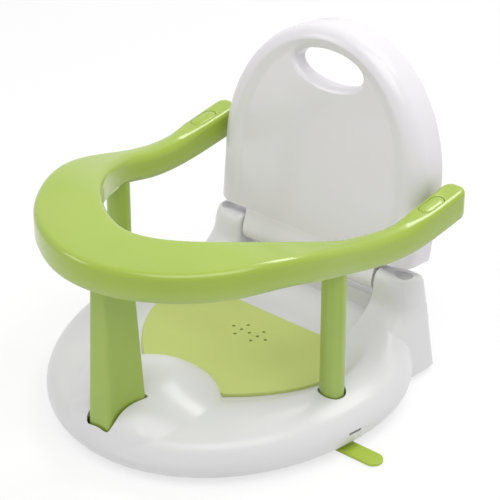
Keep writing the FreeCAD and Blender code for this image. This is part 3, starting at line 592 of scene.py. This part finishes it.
    def ear(self, side: Side) -> bpy.types.Object:
        """One hinge ear: stacked rounded sections that lean out and sweep forward to the foot."""
        crown = quarter(7)[1:]
        body = np.linspace(self.ear_foot, self.ear_top - self.ear_edge, 46)
        z = np.concatenate([body, self.ear_top - self.ear_edge + self.ear_edge * np.sin(crown)])
        inset = np.concatenate([np.zeros(len(body)), self.ear_edge * (1 - np.cos(crown))])
        outer = np.interp(z, [self.ear_foot, self.ear_top], self.ear_widths) - inset
        profile = spline([(4.5, 76.0), (24.0, 77.0), (36.0, 76.0), (42.0, 70.0), (46.5, 58.0), (51.0, 46.0),
                          (56.0, 37.5), (61.5, 32.0), (68.0, 30.0), (75.0, 29.0), (81.0, 27.0),
                          (87.0, 21.0)], 200)
        front = np.interp(z, profile[:, 0], profile[:, 1]) - inset
        power = np.interp(z, [4.5, 45.0, 70.0, 87.0], [2.7, 3.0, 3.4, 3.6])
        turn = quarter(33)
        loops = []
        for out, reach, bend, level in zip(outer, front, 2 / power, z):
            arc = np.column_stack([out * np.cos(turn) ** bend, -reach * np.sin(turn) ** bend])
            loop = round_outline(even_outline(np.concatenate([[(0.0, 0.0)], arc]), 150), self.ear_corner)
            slope = self.ear_slope * ease((level - self.ear_neck) / self.ear_entry)
            height = level - slope * (loop[:, 1] + self.ear_middle) / self.ear_middle
            place = (loop + [self.ear_inner, self.flat_back + self.ear_past]) * [side.value, 1.0]
            loops.append(at_height(place, height))
        return loft("ear_form", loops)

    def transom(self) -> bpy.types.Object:
        """The rear wall between the ears, with rounded upper edges."""
        near, far = self.transom_depths
        low, high = self.transom_levels
        outline = even_outline([(near, low), (far, low), (far, high), (near, high)], 160)
        top = outline[:, 1] > (low + high) / 2
        outline = np.where(top[:, None], round_outline(outline, self.transom_round), outline)
        return bar("transom_form", outline, -self.transom_half, self.transom_half)

    def cutters(self) -> list:
        """Closed forms of the sockets, slits and drain holes."""
        tools = [prism("socket_cut", circle(self.socket_radius, place), self.post_foot, self.socket_top)
                 for place in self.post_places]
        post = FrontPost()
        tools.append(post.form("front_socket_cut", post.foot, self.socket_top + 5.0, self.socket_gap))
        row, level = self.slit_place
        half_length, half_height = self.slit_half
        near, far = self.slit_reach
        for side in Side:
            corners = [(near, row - half_length), (far, row - half_length), (far, row + half_length),
                       (near, row + half_length)]
            outline = np.array(corners) * [side.value, 1.0]
            tools.append(prism("slit_cut", outline, level - half_height, level + half_height))
        return tools + self.drains()

    def drains(self) -> list:
        """Closed forms of the nine drain holes: a row of five, and one before and behind two of them."""
        steps = [(-2, 0), (-1, 0), (0, 0), (1, 0), (2, 0), (-1, -1), (-1, 1), (1, -1), (1, 1)]
        places = np.array(steps) * self.drain_pitch + [0.0, self.drain_row]
        return [prism("drain_cut", circle(self.drain_radius, place, 20), *self.drain_levels)
                for place in places]

    def recess(self, side: Side) -> bpy.types.Object:
        """Oval dimple in an ear's top: a flat spheroid."""
        rise = np.linspace(-math.pi / 2, math.pi / 2, 17)
        levels = self.ear_top - self.recess_sink + self.recess_depth * np.sin(rise)
        middle = (side.value * self.recess_place[0], self.recess_place[1])
        return spun("recess_cut", np.cos(rise)[:, None] * self.recess_half, levels, middle, 48)

    def build(self) -> bpy.types.Object:
        """Joins the forms and cuts the holes."""
        shell = self.shell()
        shell.name = "base_shell_dressed"
        combine(shell, [self.transom()] + [self.ear(side) for side in Side], Join.ADD)
        combine(shell, self.cutters() + [self.recess(side) for side in Side], Join.CUT)
        return shell


# Soft pieces


def drawn_in(outline: np.ndarray, distance: float) -> np.ndarray:
    """Closed outline moved inwards along its normals by a small distance."""
    along = np.roll(outline, -1, axis=0) - np.roll(outline, 1, axis=0)
    normal = np.column_stack([-along[:, 1], along[:, 0]])
    normal /= np.linalg.norm(normal, axis=1, keepdims=True)
    area = np.sum(outline[:, 0] * np.roll(outline[:, 1], -1) - np.roll(outline[:, 0], -1) * outline[:, 1])
    return outline + normal * distance * np.sign(area)


def soft_plate(name: str, outline: np.ndarray, low: float, high: float, radius: float) -> bpy.types.Object:
    """Flat plate over a closed outline whose upper edge is a quarter circle."""
    rows = [at_height(outline, low)]
    for t in quarter(6):
        ring = drawn_in(outline, radius * (1 - math.cos(t)))
        rows.append(at_height(ring, high - radius + radius * math.sin(t)))
    rows.append(at_height(drawn_in(outline, radius + 1.0), high))
    return loft(name, rows)


@dataclass
class SeatMat:
    """Soft mat: straight behind, diagonal towards the front, curved round the hump, nine drain holes."""

    half_width: float = 94.0
    middle: float = 20.0
    reach: float = 95.0
    rear_reach: float = 74.0
    power: float = 1.5
    rear_edge: float = 66.0
    hump_edge: float = -38.8
    hump_bow: float = 0.0101
    margin: float = 1.0
    low: float = 30.0
    high: float = 33.0
    corner: float = 5.0
    edge: float = 0.9

    def outline(self) -> np.ndarray:
        """Closed outline of X and Y."""
        turn = full_turn(720)
        front = np.sin(turn) < 0
        bend = np.where(front, 2.0 / self.power, 1.0)
        x = (self.half_width - self.margin) * bent(np.cos(turn), bend)
        reach = np.where(front, self.reach, self.rear_reach) - self.margin
        y = np.minimum(self.middle + reach * bent(np.sin(turn), bend), self.rear_edge)
        y = np.maximum(y, self.hump_edge - self.hump_bow * x * x)
        return round_outline(even_outline(np.column_stack([x, y]), 600), self.corner)

    def build(self, base: Base) -> bpy.types.Object:
        """The plate with its drain holes cut."""
        mat = soft_plate("seat_mat_dressed", self.outline(), self.low, self.high, self.edge)
        combine(mat, base.drains(), Join.CUT, sharp=60.0)
        return mat


@dataclass
class Cup:
    """Side suction cup with the pull tab that reaches out below the base."""

    place: tuple = (88.0, -4.0)
    tab_half: float = 8.2
    tab_line: float = -12.5
    tab_start: float = 104.0
    tab_tip: float = 171.0
    tab_tip_hidden: float = 126.0
    tab_low: float = 0.6
    tab_high: float = 3.2
    tab_edge: float = 0.9

    def build(self, side: Side) -> bpy.types.Object:
        """Turned cup joined with its rounded tab."""
        profile = np.array([(0.0, 4.5), (13.5, 3.24), (25.5, 0.0), (27.0, 0.0), (27.0, 1.2), (23.0, 4.4),
                            (19.44, 5.7), (13.0, 8.4), (9.0, 9.7), (6.0, 9.7), (6.0, 13.3), (9.0, 13.3),
                            (9.0, 16.2), (8.4, 16.8), (0.0, 16.8)])
        middle = (side.value * self.place[0], self.place[1])
        cup = spun(f"suction_cup_{side.name.lower()}_dressed", profile[:, [0, 0]], profile[:, 1], middle, 72)
        length = (self.tab_tip if side is Side.RIGHT else self.tab_tip_hidden) - self.tab_start
        across = stadium(self.tab_half, length, 90)[:, ::-1]
        outline = (across + [self.tab_start + length / 2, self.tab_line]) * [side.value, 1.0]
        tab = soft_plate("tab_form", outline, self.tab_low, self.tab_high, self.tab_edge)
        combine(cup, [tab], Join.ADD)
        return cup


# Front post


@dataclass
class FrontPost:
    """Tapering front post: flat face, hollow sides and a wider rear."""

    front: float = -152.5
    depth: float = 34.0
    face: float = 24.0
    rear: float = 44.0
    hollow: float = 4.0
    entry: float = 42.0
    ring_top: float = 193.0
    taper: float = 0.67
    foot: float = 22.0
    top: float = 169.0
    corner: float = 6.0

    def section(self, grow: float) -> np.ndarray:
        """Outline about its own middle: straight face, and circular arcs for both sides and the rear."""
        face, rear, half = self.face / 2 + grow, self.rear / 2 + grow, self.depth / 2 + grow
        t = np.linspace(0.0, 1.0, 40)
        bow = 4 * t * (1 - t)
        side = np.column_stack([face + (rear - face) * t - bow * self.hollow, -half + 2 * half * t])
        back = np.column_stack([rear - 2 * rear * t, half - bow * self.hollow * 0.5])
        corners = np.concatenate([side[:-1], back[:-1], (side * [-1.0, 1.0])[::-1]])
        return round_outline(even_outline(corners, 220), self.corner + grow)

    def form(self, name: str, low: float, high: float, grow: float) -> bpy.types.Object:
        """The section carried up between two levels, scaled down evenly with height."""
        outline = self.section(grow)
        middle = self.front + self.depth / 2
        loops = []
        for level in (low, high):
            share = (level - self.entry) / (self.ring_top - self.entry)
            loops.append(at_height(outline * (1.0 + (self.taper - 1.0) * share) + [0.0, middle], level))
        return loft(name, loops)

    def build(self) -> bpy.types.Object:
        """The post from its foot inside the base to the ring's underside."""
        return self.form("front_post_dressed", self.foot, self.top, 0.0)


# Tray ring, its buttons and their springs


@dataclass
class TrayRing:
    """The ring's upper moulding: a flat tray in front that sinks and narrows into two rounded arms."""

    half_width: float = 126.5
    front: float = 167.73
    opening_half: float = 106.0
    opening_front: float = 109.0
    post_line: float = -4.0
    opening_line: float = 17.0
    end_outer: float = 132.0
    end_inner: float = 110.5
    rear: float = 150.0
    corner: float = 9.0
    pivot: float = -20.0
    height: float = 21.0
    end_steps: int = 13
    end_round: float = 4.0
    edge_share: float = 0.47
    crease: float = 50.0
    button_middle: tuple = (121.25, 112.5)
    pocket_half: float = 6.2
    pocket_length: float = 27.4
    pocket_floor: float = 149.53
    pocket_top: float = 185.0

    def level(self, y: np.ndarray) -> np.ndarray:
        """Height of the top line at a Y: level in front, then a smooth S down to the arms."""
        line = spline([(-92.0, 193.0), (-12.0, 178.97), (62.0, 162.5), (160.0, 168.0)], 400,
                      first=(1.0, 0.0), last=(1.0, 0.06))
        return np.interp(y, line[:, 0], line[:, 1])

    def edges(self) -> tuple:
        """Outer and inner edge of the right half from front to arm end, as dense curves in X and Y."""
        def front_curve(side: float, line: float, reach: float, shares: list) -> np.ndarray:
            """Quarter of an oval from the front's middle to the side."""
            knots = [(0.0, line - reach)] + [(side * a, line - reach * b) for a, b in shares] + [(side, line)]
            return spline(knots, 400, first=(1.0, 0.0), last=(0.0, 1.0))

        start = self.rear - self.corner
        outer = front_curve(self.half_width, self.post_line, self.post_line + self.front,
                            [(0.356, 0.936), (0.662, 0.77), (0.872, 0.531), (0.98, 0.2576)])
        inner = front_curve(self.opening_half, self.opening_line, self.opening_line + self.opening_front,
                            [(0.27, 0.935), (0.50, 0.805), (0.745, 0.575), (0.92, 0.29)])
        outer_arm = spline([(self.half_width, self.post_line), (128.43, 45.0), (131.5, 100.0),
                            (self.end_outer, start)], 200, first=(0.0, 1.0), last=(0.0, 1.0))
        inner_arm = spline([(self.opening_half, self.opening_line), (109.4, 60.0), (self.end_inner, start)],
                           200, first=(0.0, 1.0), last=(0.0, 1.0))
        return np.concatenate([outer, outer_arm[1:]]), np.concatenate([inner, inner_arm[1:]])

    def stations(self) -> tuple:
        """Matching outer and inner points: on rays about the pivot in front, by Y along the arm."""
        sets = []
        turn = quarter(70)
        run = np.linspace(self.pivot, self.rear - self.corner, 80)[1:]
        end = quarter(self.end_steps + 1)[1:]
        for curve, sign in zip(self.edges(), (-1.0, 1.0)):
            angle = np.arctan2(curve[:, 0], self.pivot - curve[:, 1])
            radius = np.hypot(curve[:, 0], curve[:, 1] - self.pivot)
            far = np.interp(turn, angle, radius)
            ray = np.column_stack([far * np.sin(turn), self.pivot - far * np.cos(turn)])
            arm = np.column_stack([np.interp(run, curve[:, 1], curve[:, 0]), run])
            shrink = sign * self.corner * (1 - np.cos(end))
            tip = np.column_stack([curve[-1, 0] + shrink, self.rear - self.corner * (1 - np.sin(end))])
            sets.append(np.concatenate([ray, arm, tip]))
        return sets[0], sets[1]

    def radii(self, y: np.ndarray) -> tuple:
        """Edge radius outside and inside at a Y: broad on the tray, full on the arm, small at its end."""
        outer = np.interp(y, [-170.0, -60.0, 20.0, 75.0, 98.0, 150.0], [5.5, 6.5, 9.0, 9.5, 5.0, 4.0])
        inner = np.interp(y, [-120.0, -60.0, 20.0, 75.0, 98.0, 150.0], [5.5, 6.5, 9.0, 9.0, 5.0, 4.0])
        return outer, inner

    def half(self) -> np.ndarray:
        """Closed sections of the right half: top with quarter-circle edges, walls and underside."""
        outer, inner = self.stations()
        across = outer - inner
        width = np.linalg.norm(across, axis=1)
        unit = across / width[:, None]
        tangent = np.gradient((outer + inner) / 2, axis=0)
        tangent[0] = (1.0, 0.0)
        tangent /= np.linalg.norm(tangent, axis=1, keepdims=True)
        straight = np.abs(tangent[:, 0] * unit[:, 1] - tangent[:, 1] * unit[:, 0])
        straight[-self.end_steps:] = 1.0
        ro, ri = self.radii(outer[:, 1])
        arc = 1 - np.cos(quarter(10))
        zone_i = np.minimum(ri / straight, self.edge_share * width)[:, None] * arc
        zone_o = width[:, None] - np.minimum(ro / straight, self.edge_share * width)[:, None] * arc[::-1]
        flat = np.linspace(0.0, 1.0, 8)[1:-1]
        middle = zone_i[:, -1:] + (zone_o[:, :1] - zone_i[:, -1:]) * flat
        place = np.concatenate([zone_i, middle, zone_o], axis=1)
        xy = inner[:, None, :] + unit[:, None, :] * place[..., None]
        from_end = np.maximum(self.rear - xy[..., 1], 0.0)
        lean = np.ones(len(width))
        tip = (outer[-self.end_steps:, 1] - (self.rear - self.corner)) / self.corner
        lean[-self.end_steps:] = np.sqrt(np.clip(1 - tip ** 2, 0.0, 1.0))
        from_in = place * straight[:, None] * lean[:, None]
        from_out = (width[:, None] - place) * straight[:, None] * lean[:, None]
        drop = np.maximum(np.maximum(edge_drop(from_in, ri[:, None]), edge_drop(from_out, ro[:, None])),
                          edge_drop(from_end, self.end_round))
        top = self.level(xy[..., 1])
        upper = np.concatenate([xy, (top - drop)[..., None]], axis=-1)
        foot = np.concatenate([xy, (top - self.height)[..., None]], axis=-1)
        drop_share = np.array([0.5, 1.0])[None, :, None]
        wall_o = upper[:, -1:, :] * (1 - drop_share) + foot[:, -1:, :] * drop_share
        wall_i = foot[:, :1, :] * (1 - drop_share) + upper[:, :1, :] * drop_share
        return np.concatenate([upper, wall_o, foot[:, -2:0:-1], foot[:, :1, :], wall_i[:, :1, :]], axis=1)

    def button_place(self, side: Side) -> np.ndarray:
        """Where a button's middle lies in X and Y."""
        return np.array([side.value * self.button_middle[0], self.button_middle[1]])

    def pocket(self, side: Side) -> bpy.types.Object:
        """The oval pocket that a button travels in."""
        outline = stadium(self.pocket_half, self.pocket_length, 64) + self.button_place(side)
        return prism("pocket_cut", outline, self.pocket_floor, self.pocket_top)

    def build(self) -> bpy.types.Object:
        """Both halves as one closed run of sections, with the pockets cut."""
        right = self.half()
        left = right[::-1] * [-1.0, 1.0, 1.0]
        ring = loft("ring_upper_dressed", np.concatenate([left[:-1], right]), self.crease)
        combine(ring, [self.pocket(side) for side in Side], Join.CUT, self.crease)
        return ring


@dataclass
class Button:
    """Oval arm button, domed, with its front end lower so that a crescent step shows."""

    half_width: float = 6.0
    length: float = 27.0
    floor: float = 156.6
    tilt: float = 0.07
    lip: float = 1.4
    sink: float = 0.9
    dome_insets: tuple = (2.4, 3.6, 4.8, 5.7)
    dome_rises: tuple = (0.25, 0.4, 0.5, 0.55)

    def build(self, side: Side, ring: TrayRing) -> bpy.types.Object:
        """Rings of the oval outline, drawn in over a rounded lip to a domed and tilted top."""
        middle = ring.button_place(side)
        turn = quarter(7)
        inset = np.concatenate([self.lip * (1 - np.cos(turn)), self.dome_insets])
        rise = np.concatenate([self.lip * np.sin(turn), self.lip + np.array(self.dome_rises)])
        level = float(ring.level(np.array([middle[1]]))[0]) - self.sink
        rows = [at_height(stadium(self.half_width, self.length, 64) + middle, self.floor)]
        for draw, up in zip(inset, rise):
            outline = stadium(self.half_width - draw, self.length - 2 * draw, 64) + middle
            rows.append(at_height(outline, level + up + self.tilt * (outline[:, 1] - middle[1])))
        return loft(f"button_{side.name.lower()}_dressed", rows, ring.crease)


@dataclass
class Spring:
    """Coil spring below a button, built at rest between the pocket's floor and the button."""

    coil: float = 3.2
    wire: float = 0.45
    turns: float = 3.5
    low: float = 149.54
    high: float = 156.44
    keep: float = 0.7
    crease: float = 60.0

    def build(self, side: Side, ring: TrayRing) -> bpy.types.Object:
        """Round wire swept along the helix, in rings across the wire."""
        middle = ring.button_place(side)
        share = np.linspace(0.0, 1.0, 150)[:, None]
        turn = share * self.turns * 2 * math.pi
        around = full_turn(10)
        reach = self.coil + self.wire * np.cos(around)
        rise = self.low + self.wire + (self.high - self.low - 2 * self.wire) * share
        points = np.stack([middle[0] + reach * np.cos(turn), middle[1] + reach * np.sin(turn),
                           rise + self.wire * np.sin(around)], axis=-1)
        return loft(f"button_spring_{side.name.lower()}_dressed", points, self.crease)

    def press(self, item: bpy.types.Object, joint: str, side: Side, ring: TrayRing) -> None:
        """Gives the spring its own copy of its mesh."""
        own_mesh(item)


# Backrest


@dataclass
class Backrest:
    """Backrest moulding: rolled rim, sunken panel, soft-edged carrying hole and a round-edged tongue.

    It is worked out upright with its hinge axis on the origin, X across, Y to the rear and Z up, and is
    then leaned back and moved to its hinge.
    """

    half_width: float = 102.0
    waist: float = 104.5
    shoulder: float = 18.0
    arch_start: float = 82.5
    height: float = 201.0
    front: float = -11.0
    rear: float = 25.0
    corner: float = 4.0
    rim_side: float = 26.0
    rim_top: float = 18.0
    panel_depth: float = 2.5
    front_round: float = 14.0
    rear_round: float = 2.5
    shoulder_round: float = 3.0
    crease: float = 45.0
    wall: float = 3.0
    reach: float = 70.0
    tongue_rise: float = 16.0
    tongue_top: float = 32.0
    tongue_sink: float = 0.2
    handle_half: tuple = (35.0, 15.0)
    handle_height: float = 166.0
    handle_lip: float = 4.5
    collar_rear: float = 6.0
    lean: float = 8.0
    hinge: tuple = (0.0, 115.0, 75.0)
    pin_hole: float = 4.05
    pin_engagement: float = 22.0

    def outline(self, inset_side: float, inset_top: float) -> np.ndarray:
        """Right half from the shoulder's underside to the top: straight side, then an ellipse quarter."""
        rise = np.linspace(self.shoulder + self.corner, self.arch_start, 26)
        side = np.column_stack([np.interp(rise, [self.shoulder, self.arch_start],
                                          [self.half_width, self.waist]) - inset_side, rise])
        turn = quarter(90)[1:]
        arch = np.column_stack([(self.waist - inset_side) * np.cos(turn), self.arch_start
                                + (self.height - inset_top - self.arch_start) * np.sin(turn)])
        return np.concatenate([side, arch])

    def rim(self) -> tuple:
        """Outer and inner points of the rim's right half, shoulder first, and how upright its edge is."""
        turn = np.linspace(math.pi / 2, 0.0, 14)[:-1]
        low_z = self.shoulder + self.corner * (1 - np.sin(turn))
        edge = np.interp(low_z, [self.shoulder, self.arch_start], [self.half_width, self.waist])
        low_outer = np.column_stack([edge - self.corner * (1 - np.cos(turn)), low_z])
        low_inner = np.column_stack([np.full_like(low_z, self.half_width - self.rim_side), low_z])
        outer = np.concatenate([low_outer, self.outline(0.0, 0.0)])
        inner = np.concatenate([low_inner, self.outline(self.rim_side, self.rim_top)])
        sunk = np.clip((self.corner - (outer[:, 1] - self.shoulder)) / self.corner, 0, 1)
        return outer, inner, np.sqrt(1 - sunk ** 2)

    def front_face(self) -> np.ndarray:
        """Right half of the front: quarter-circle outer edge, and an eased fall from rim to panel."""
        outer, inner, lean = self.rim()
        across = inner - outer
        width = np.linalg.norm(across, axis=1)
        arc = 1 - np.cos(quarter(12))
        zone = np.minimum(self.front_round, 0.5 * width)[:, None] * arc
        rest = np.linspace(0.0, 1.0, 16)[1:]
        place = np.concatenate([zone, zone[:, -1:] + (width[:, None] - zone[:, -1:]) * rest], axis=1)
        xz = outer[:, None, :] + across[:, None, :] * (place / width[:, None])[..., None]
        from_end = np.maximum(xz[..., 1] - self.shoulder, 0.0)
        round_drop = np.maximum(edge_drop(place * lean[:, None], self.front_round),
                                edge_drop(from_end, self.shoulder_round))
        fall = self.panel_depth * ease((place - 0.5 * width[:, None]) / (0.5 * width[:, None]))
        y = self.front + np.maximum(round_drop, fall)
        return np.stack([xz[..., 0], y, xz[..., 1]], axis=-1)

    def body(self) -> bpy.types.Object:
        """Closed form of the arch: front face, panel, side wall with a small rear round, flat rear."""
        right = self.front_face()
        left = (right * [-1.0, 1.0, 1.0])[::-1]
        front = np.concatenate([right, left[1:]])
        edge = front[:, 0]
        middle = np.array([0.0, 0.0, self.arch_start])
        inward = edge * [1.0, 0.0, 1.0] - middle
        inward /= np.linalg.norm(inward, axis=1, keepdims=True)
        rows = [edge * [1, 0, 1] - inward * self.rear_round * (1 - math.cos(t))
                + np.array([0.0, self.rear - self.rear_round * (1 - math.sin(t)), 0.0]) for t in quarter(6)]
        side = np.stack([edge] + rows, axis=1)
        form = Surface()
        face = form.grid(front)
        wall = form.grid(side)
        across = np.linspace(1.0, -1.0, 41)[None, :, None]
        inner = right[:, -1][:, None, :]
        form.grid(inner * [0.0, 1.0, 1.0] + inner * [1.0, 0.0, 0.0] * across)
        form.cap(wall[:, -1])
        bottom = np.concatenate([face[0][::-1], wall[0, 1:]])
        top = np.concatenate([face[-1][::-1], wall[-1, 1:]])
        form.cap(np.concatenate([bottom, top[::-1]]))
        return form.make("backrest_shell_dressed", self.crease)

    def tongue(self) -> bpy.types.Object:
        """The tongue's section of Y and Z, round below about the hinge axis, carried along X."""
        radius = -self.front
        turn = np.linspace(0.0, math.pi, 40)
        arc = np.column_stack([radius * np.cos(turn), -radius * np.sin(turn)])
        fall = np.linspace(0.0, 1.0, 14)[1:]
        front = np.column_stack([self.front + self.panel_depth * ease(fall), self.tongue_rise * fall])
        panel = self.front + self.panel_depth
        hidden = panel + self.tongue_sink
        upper = np.array([[panel, 17.9], [hidden, 18.4], [hidden, self.tongue_top],
                          [radius - 0.1, self.tongue_top]])
        return bar("tongue_form", np.concatenate([arc, front, upper]), -self.reach, self.reach)

    def hollow(self) -> bpy.types.Object:
        """The space behind the panel, inset by the wall and drawn in by a quarter circle at its front."""
        start = self.front + self.panel_depth + self.wall
        radius = self.front_round - self.wall - self.panel_depth
        turn = quarter(8)
        y = np.concatenate([start + radius * (1 - np.cos(turn)), [self.rear + 2.0]])
        inset = np.concatenate([self.wall + radius * (1 - np.sin(turn)), [self.wall]])
        loops = []
        for at, drawn in zip(y, inset):
            outline = self.outline(drawn, drawn)
            low = [[outline[0, 0] - 0.01, self.shoulder + drawn]]
            right = np.concatenate([low, outline])
            loop = np.concatenate([right, (right * [-1.0, 1.0])[::-1][1:]])
            loops.append(np.column_stack([loop[:, 0], np.full(len(loop), at), loop[:, 1]]))
        return loft("hollow_form", loops)

    def tube(self, name: str, rear: float, grow: float, flare: float) -> bpy.types.Object:
        """Oval form through the carrying hole.

        Args:
            name: Name of the form.
            rear: Depth where it ends.
            grow: How much larger than the hole it is.
            flare: Radius of the quarter circle that widens it at the panel, or 0.

        Returns:
            The closed form.
        """
        face = self.front + self.panel_depth
        y = np.concatenate([[self.front - 3.0], face + np.linspace(-0.4, self.handle_lip, 12), [rear]])
        grown = grow + (edge_drop(np.clip(y - face, 0.0, None), flare) if flare else np.zeros(len(y)))
        turn = full_turn(96)
        x = (self.handle_half[0] + grown[:, None]) * np.cos(turn)
        z = self.handle_height + (self.handle_half[1] + grown[:, None]) * np.sin(turn)
        return loft(name, np.stack([x, np.repeat(y[:, None], len(turn), axis=1), z], axis=-1))

    def pin_cut(self, side: Side) -> bpy.types.Object:
        """Running hole of a hinge pin at one end of the tongue."""
        return bar("pin_cut", circle(self.pin_hole), side.value * (self.reach - self.pin_engagement),
                   side.value * (self.reach + 2.0))

    def build(self) -> bpy.types.Object:
        """Joins and cuts the forms, then leans the backrest and moves it to its hinge."""
        back = self.body()
        combine(back, [self.tongue()], Join.ADD, self.crease)
        hollow = self.hollow()
        combine(hollow, [self.tube("collar_form", self.collar_rear, self.wall, 0.0)], Join.CUT)
        combine(back, [hollow, self.tube("handle_cut", self.rear + 3.0, 0.0, self.handle_lip)]
                + [self.pin_cut(side) for side in Side], Join.CUT, self.crease)
        lean = Matrix.Rotation(math.radians(-self.lean), 4, "X")
        back.data.transform(Matrix.Translation(Vector(self.hinge) * MM) @ lean)
        back.data.update()
        return back


# Stage


@dataclass
class Stage:
    """Pale floor, soft lamps, white surroundings and the camera at the photo's angle."""

    aim: tuple = (32.5, -8.0, 142.0)
    view: tuple = (-0.5567, 0.6634, -0.5)
    distance: float = 1640.0
    field: float = 13.76
    surround: float = 0.57
    lamp_aim: tuple = (0.0, 0.0, 100.0)
    floor_half: float = 6000.0
    floor_level: float = -0.2
    floor_tone: tuple = (0.93, 0.93, 0.93, 1.0)
    floor_glow: float = 0.72

    def camera(self) -> None:
        """Camera on the line of sight, looking at the aim point."""
        data = bpy.data.cameras.new("camera")
        data.sensor_fit = "HORIZONTAL"
        data.angle = math.radians(self.field)
        item = linked("camera", data)
        sight = Vector(self.view).normalized()
        item.location = (Vector(self.aim) - sight * self.distance) * MM
        item.rotation_euler = sight.to_track_quat("-Z", "Y").to_euler()
        bpy.context.scene.camera = item

    def lamp(self, name: str, at: tuple, size: tuple, power: float) -> None:
        """Square or long soft lamp that faces the middle of the seat.

        Args:
            name: Name of the lamp.
            at: Its place in millimetres.
            size: Its width and height in millimetres.
            power: Its power in watts.
        """
        data = bpy.data.lights.new(name, "AREA")
        data.shape = "RECTANGLE"
        data.size, data.size_y = size[0] * MM, size[1] * MM
        data.energy = power
        item = linked(name, data)
        item.location = Vector(at) * MM
        sight = Vector(self.lamp_aim) * MM - item.location
        item.rotation_euler = sight.to_track_quat("-Z", "Y").to_euler()

    def floor(self) -> None:
        """Pale floor that the camera sees mostly as plain white, with the seat's soft shadow."""
        form = Surface()
        span = np.array([-self.floor_half, self.floor_half])
        x, y = np.meshgrid(span, span, indexing="ij")
        form.grid(np.stack([x, y, np.full_like(x, self.floor_level)], axis=-1))
        item = form.make("floor")
        if item.data.polygons[0].normal.z < 0:
            item.data.flip_normals()
        made = bpy.data.materials.new("pale_floor")
        made.use_nodes = True
        tree = made.node_tree
        tree.nodes.remove(tree.nodes["Principled BSDF"])
        matte = add_node(tree, "BsdfDiffuse", Color=self.floor_tone)
        plain, blend, share = (add_node(tree, kind) for kind in ("Emission", "MixShader", "Math"))
        share.operation = "MULTIPLY"
        share.inputs[1].default_value = self.floor_glow
        link_all(tree, (self.seen(tree), share.inputs[0]), (share.outputs[0], blend.inputs[0]),
                 (matte.outputs[0], blend.inputs[1]), (plain.outputs[0], blend.inputs[2]),
                 (blend.outputs[0], tree.nodes["Material Output"].inputs["Surface"]))
        item.data.materials.append(made)

    def seen(self, tree: bpy.types.NodeTree) -> bpy.types.NodeSocket:
        """Is one for rays from the camera, from a gloss or through glass."""
        path = add_node(tree, "LightPath")
        found = path.outputs["Is Camera Ray"]
        for ray in ("Is Glossy Ray", "Is Transmission Ray"):
            larger = add_node(tree, "Math")
            larger.operation = "MAXIMUM"
            link_all(tree, (found, larger.inputs[0]), (path.outputs[ray], larger.inputs[1]))
            found = larger.outputs[0]
        return found

    def world(self) -> None:
        """White surroundings where they are seen, and a soft level where they light the seat."""
        world = bpy.data.worlds.new("surround")
        bpy.context.scene.world = world
        world.use_nodes = True
        tree = world.node_tree
        level = add_node(tree, "MapRange", To_Min=self.surround, To_Max=1.0)
        shown = fill(tree.nodes["Background"], Color=(1.0, 1.0, 1.0, 1.0))
        link_all(tree, (self.seen(tree), level.inputs["Value"]),
                 (level.outputs["Result"], shown.inputs["Strength"]))

    def build(self) -> None:
        """Sets up everything that isn't part of the seat."""
        bpy.context.scene.view_settings.view_transform = "Standard"
        self.camera()
        self.floor()
        self.world()
        self.lamp("key_lamp", (450.0, -350.0, 1500.0), (1300.0, 1000.0), 10.0)
        self.lamp("left_lamp", (-900.0, -900.0, 900.0), (500.0, 500.0), 2.5)
        self.lamp("rear_lamp", (100.0, 900.0, 1300.0), (900.0, 400.0), 8.0)


# The whole seat


@dataclass
class BathSeat:
    """Dresses every node: new surfaces where the look needs them, finishes on the rest."""

    def dress(self, item: bpy.types.Object, finish: bpy.types.Material, body: str,
              node: str | None = None) -> None:
        """Gives a piece its finish and its body, and hides the node that it stands for."""
        item.data.materials.clear()
        item.data.materials.append(finish)
        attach(item, body)
        if node:
            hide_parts(node)
        LOG.info("%s: %d faces on %s", item.name, len(item.data.polygons), body)

    def keep(self, node: str, finish: bpy.types.Material) -> None:
        """Gives a node that keeps its own shape a better finish."""
        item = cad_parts[node]
        item.data.materials.clear()
        item.data.materials.append(finish)
        LOG.info("%s keeps its shape", node)

    def build(self) -> None:
        """Builds the pieces in order."""
        white, back, green, post, mat, cup, pin, wire = [finish.material() for finish in (
            WHITE_SHELL, WHITE_BACK, GREEN_RING, GREEN_POST, SOFT_MAT, SOFT_CUP, PIN_WHITE, SPRING_WIRE)]
        base, ring, spring = Base(), TrayRing(), Spring()
        self.dress(base.build(), white, "seat", "base_shell")
        self.dress(SeatMat().build(base), mat, "seat", "seat_mat")
        self.dress(ring.build(), green, "seat", "ring_upper")
        self.dress(FrontPost().build(), post, "seat", "front_post")
        self.dress(Backrest().build(), back, "backrest", "backrest_shell")
        for side, body in ((Side.LEFT, "button_l"), (Side.RIGHT, "button_r")):
            name = side.name.lower()
            self.dress(Button().build(side, ring), green, body, f"button_{name}")
            self.dress(Cup().build(side), cup, "seat", f"suction_cup_{name}")
            coil = spring.build(side, ring)
            self.dress(coil, wire, "seat", f"button_spring_{name}")
            spring.press(coil, f"button_{name}_press", side, ring)
        for node, finish in {"bottom_cover": white, "ring_cover": green, "post_left": post,
                             "post_right": post, "backrest_cover": back, "hinge_pin_left": pin,
                             "hinge_pin_right": pin, "suction_cup_front": cup,
                             "suction_cup_rear": cup}.items():
            self.keep(node, finish)


def main() -> None:
    """Builds the seat and its stage."""
    logging.basicConfig(level=logging.INFO, format="%(name)s: %(message)s")
    BathSeat().build()
    Stage().build()


if __name__ == "__main__":
    main()
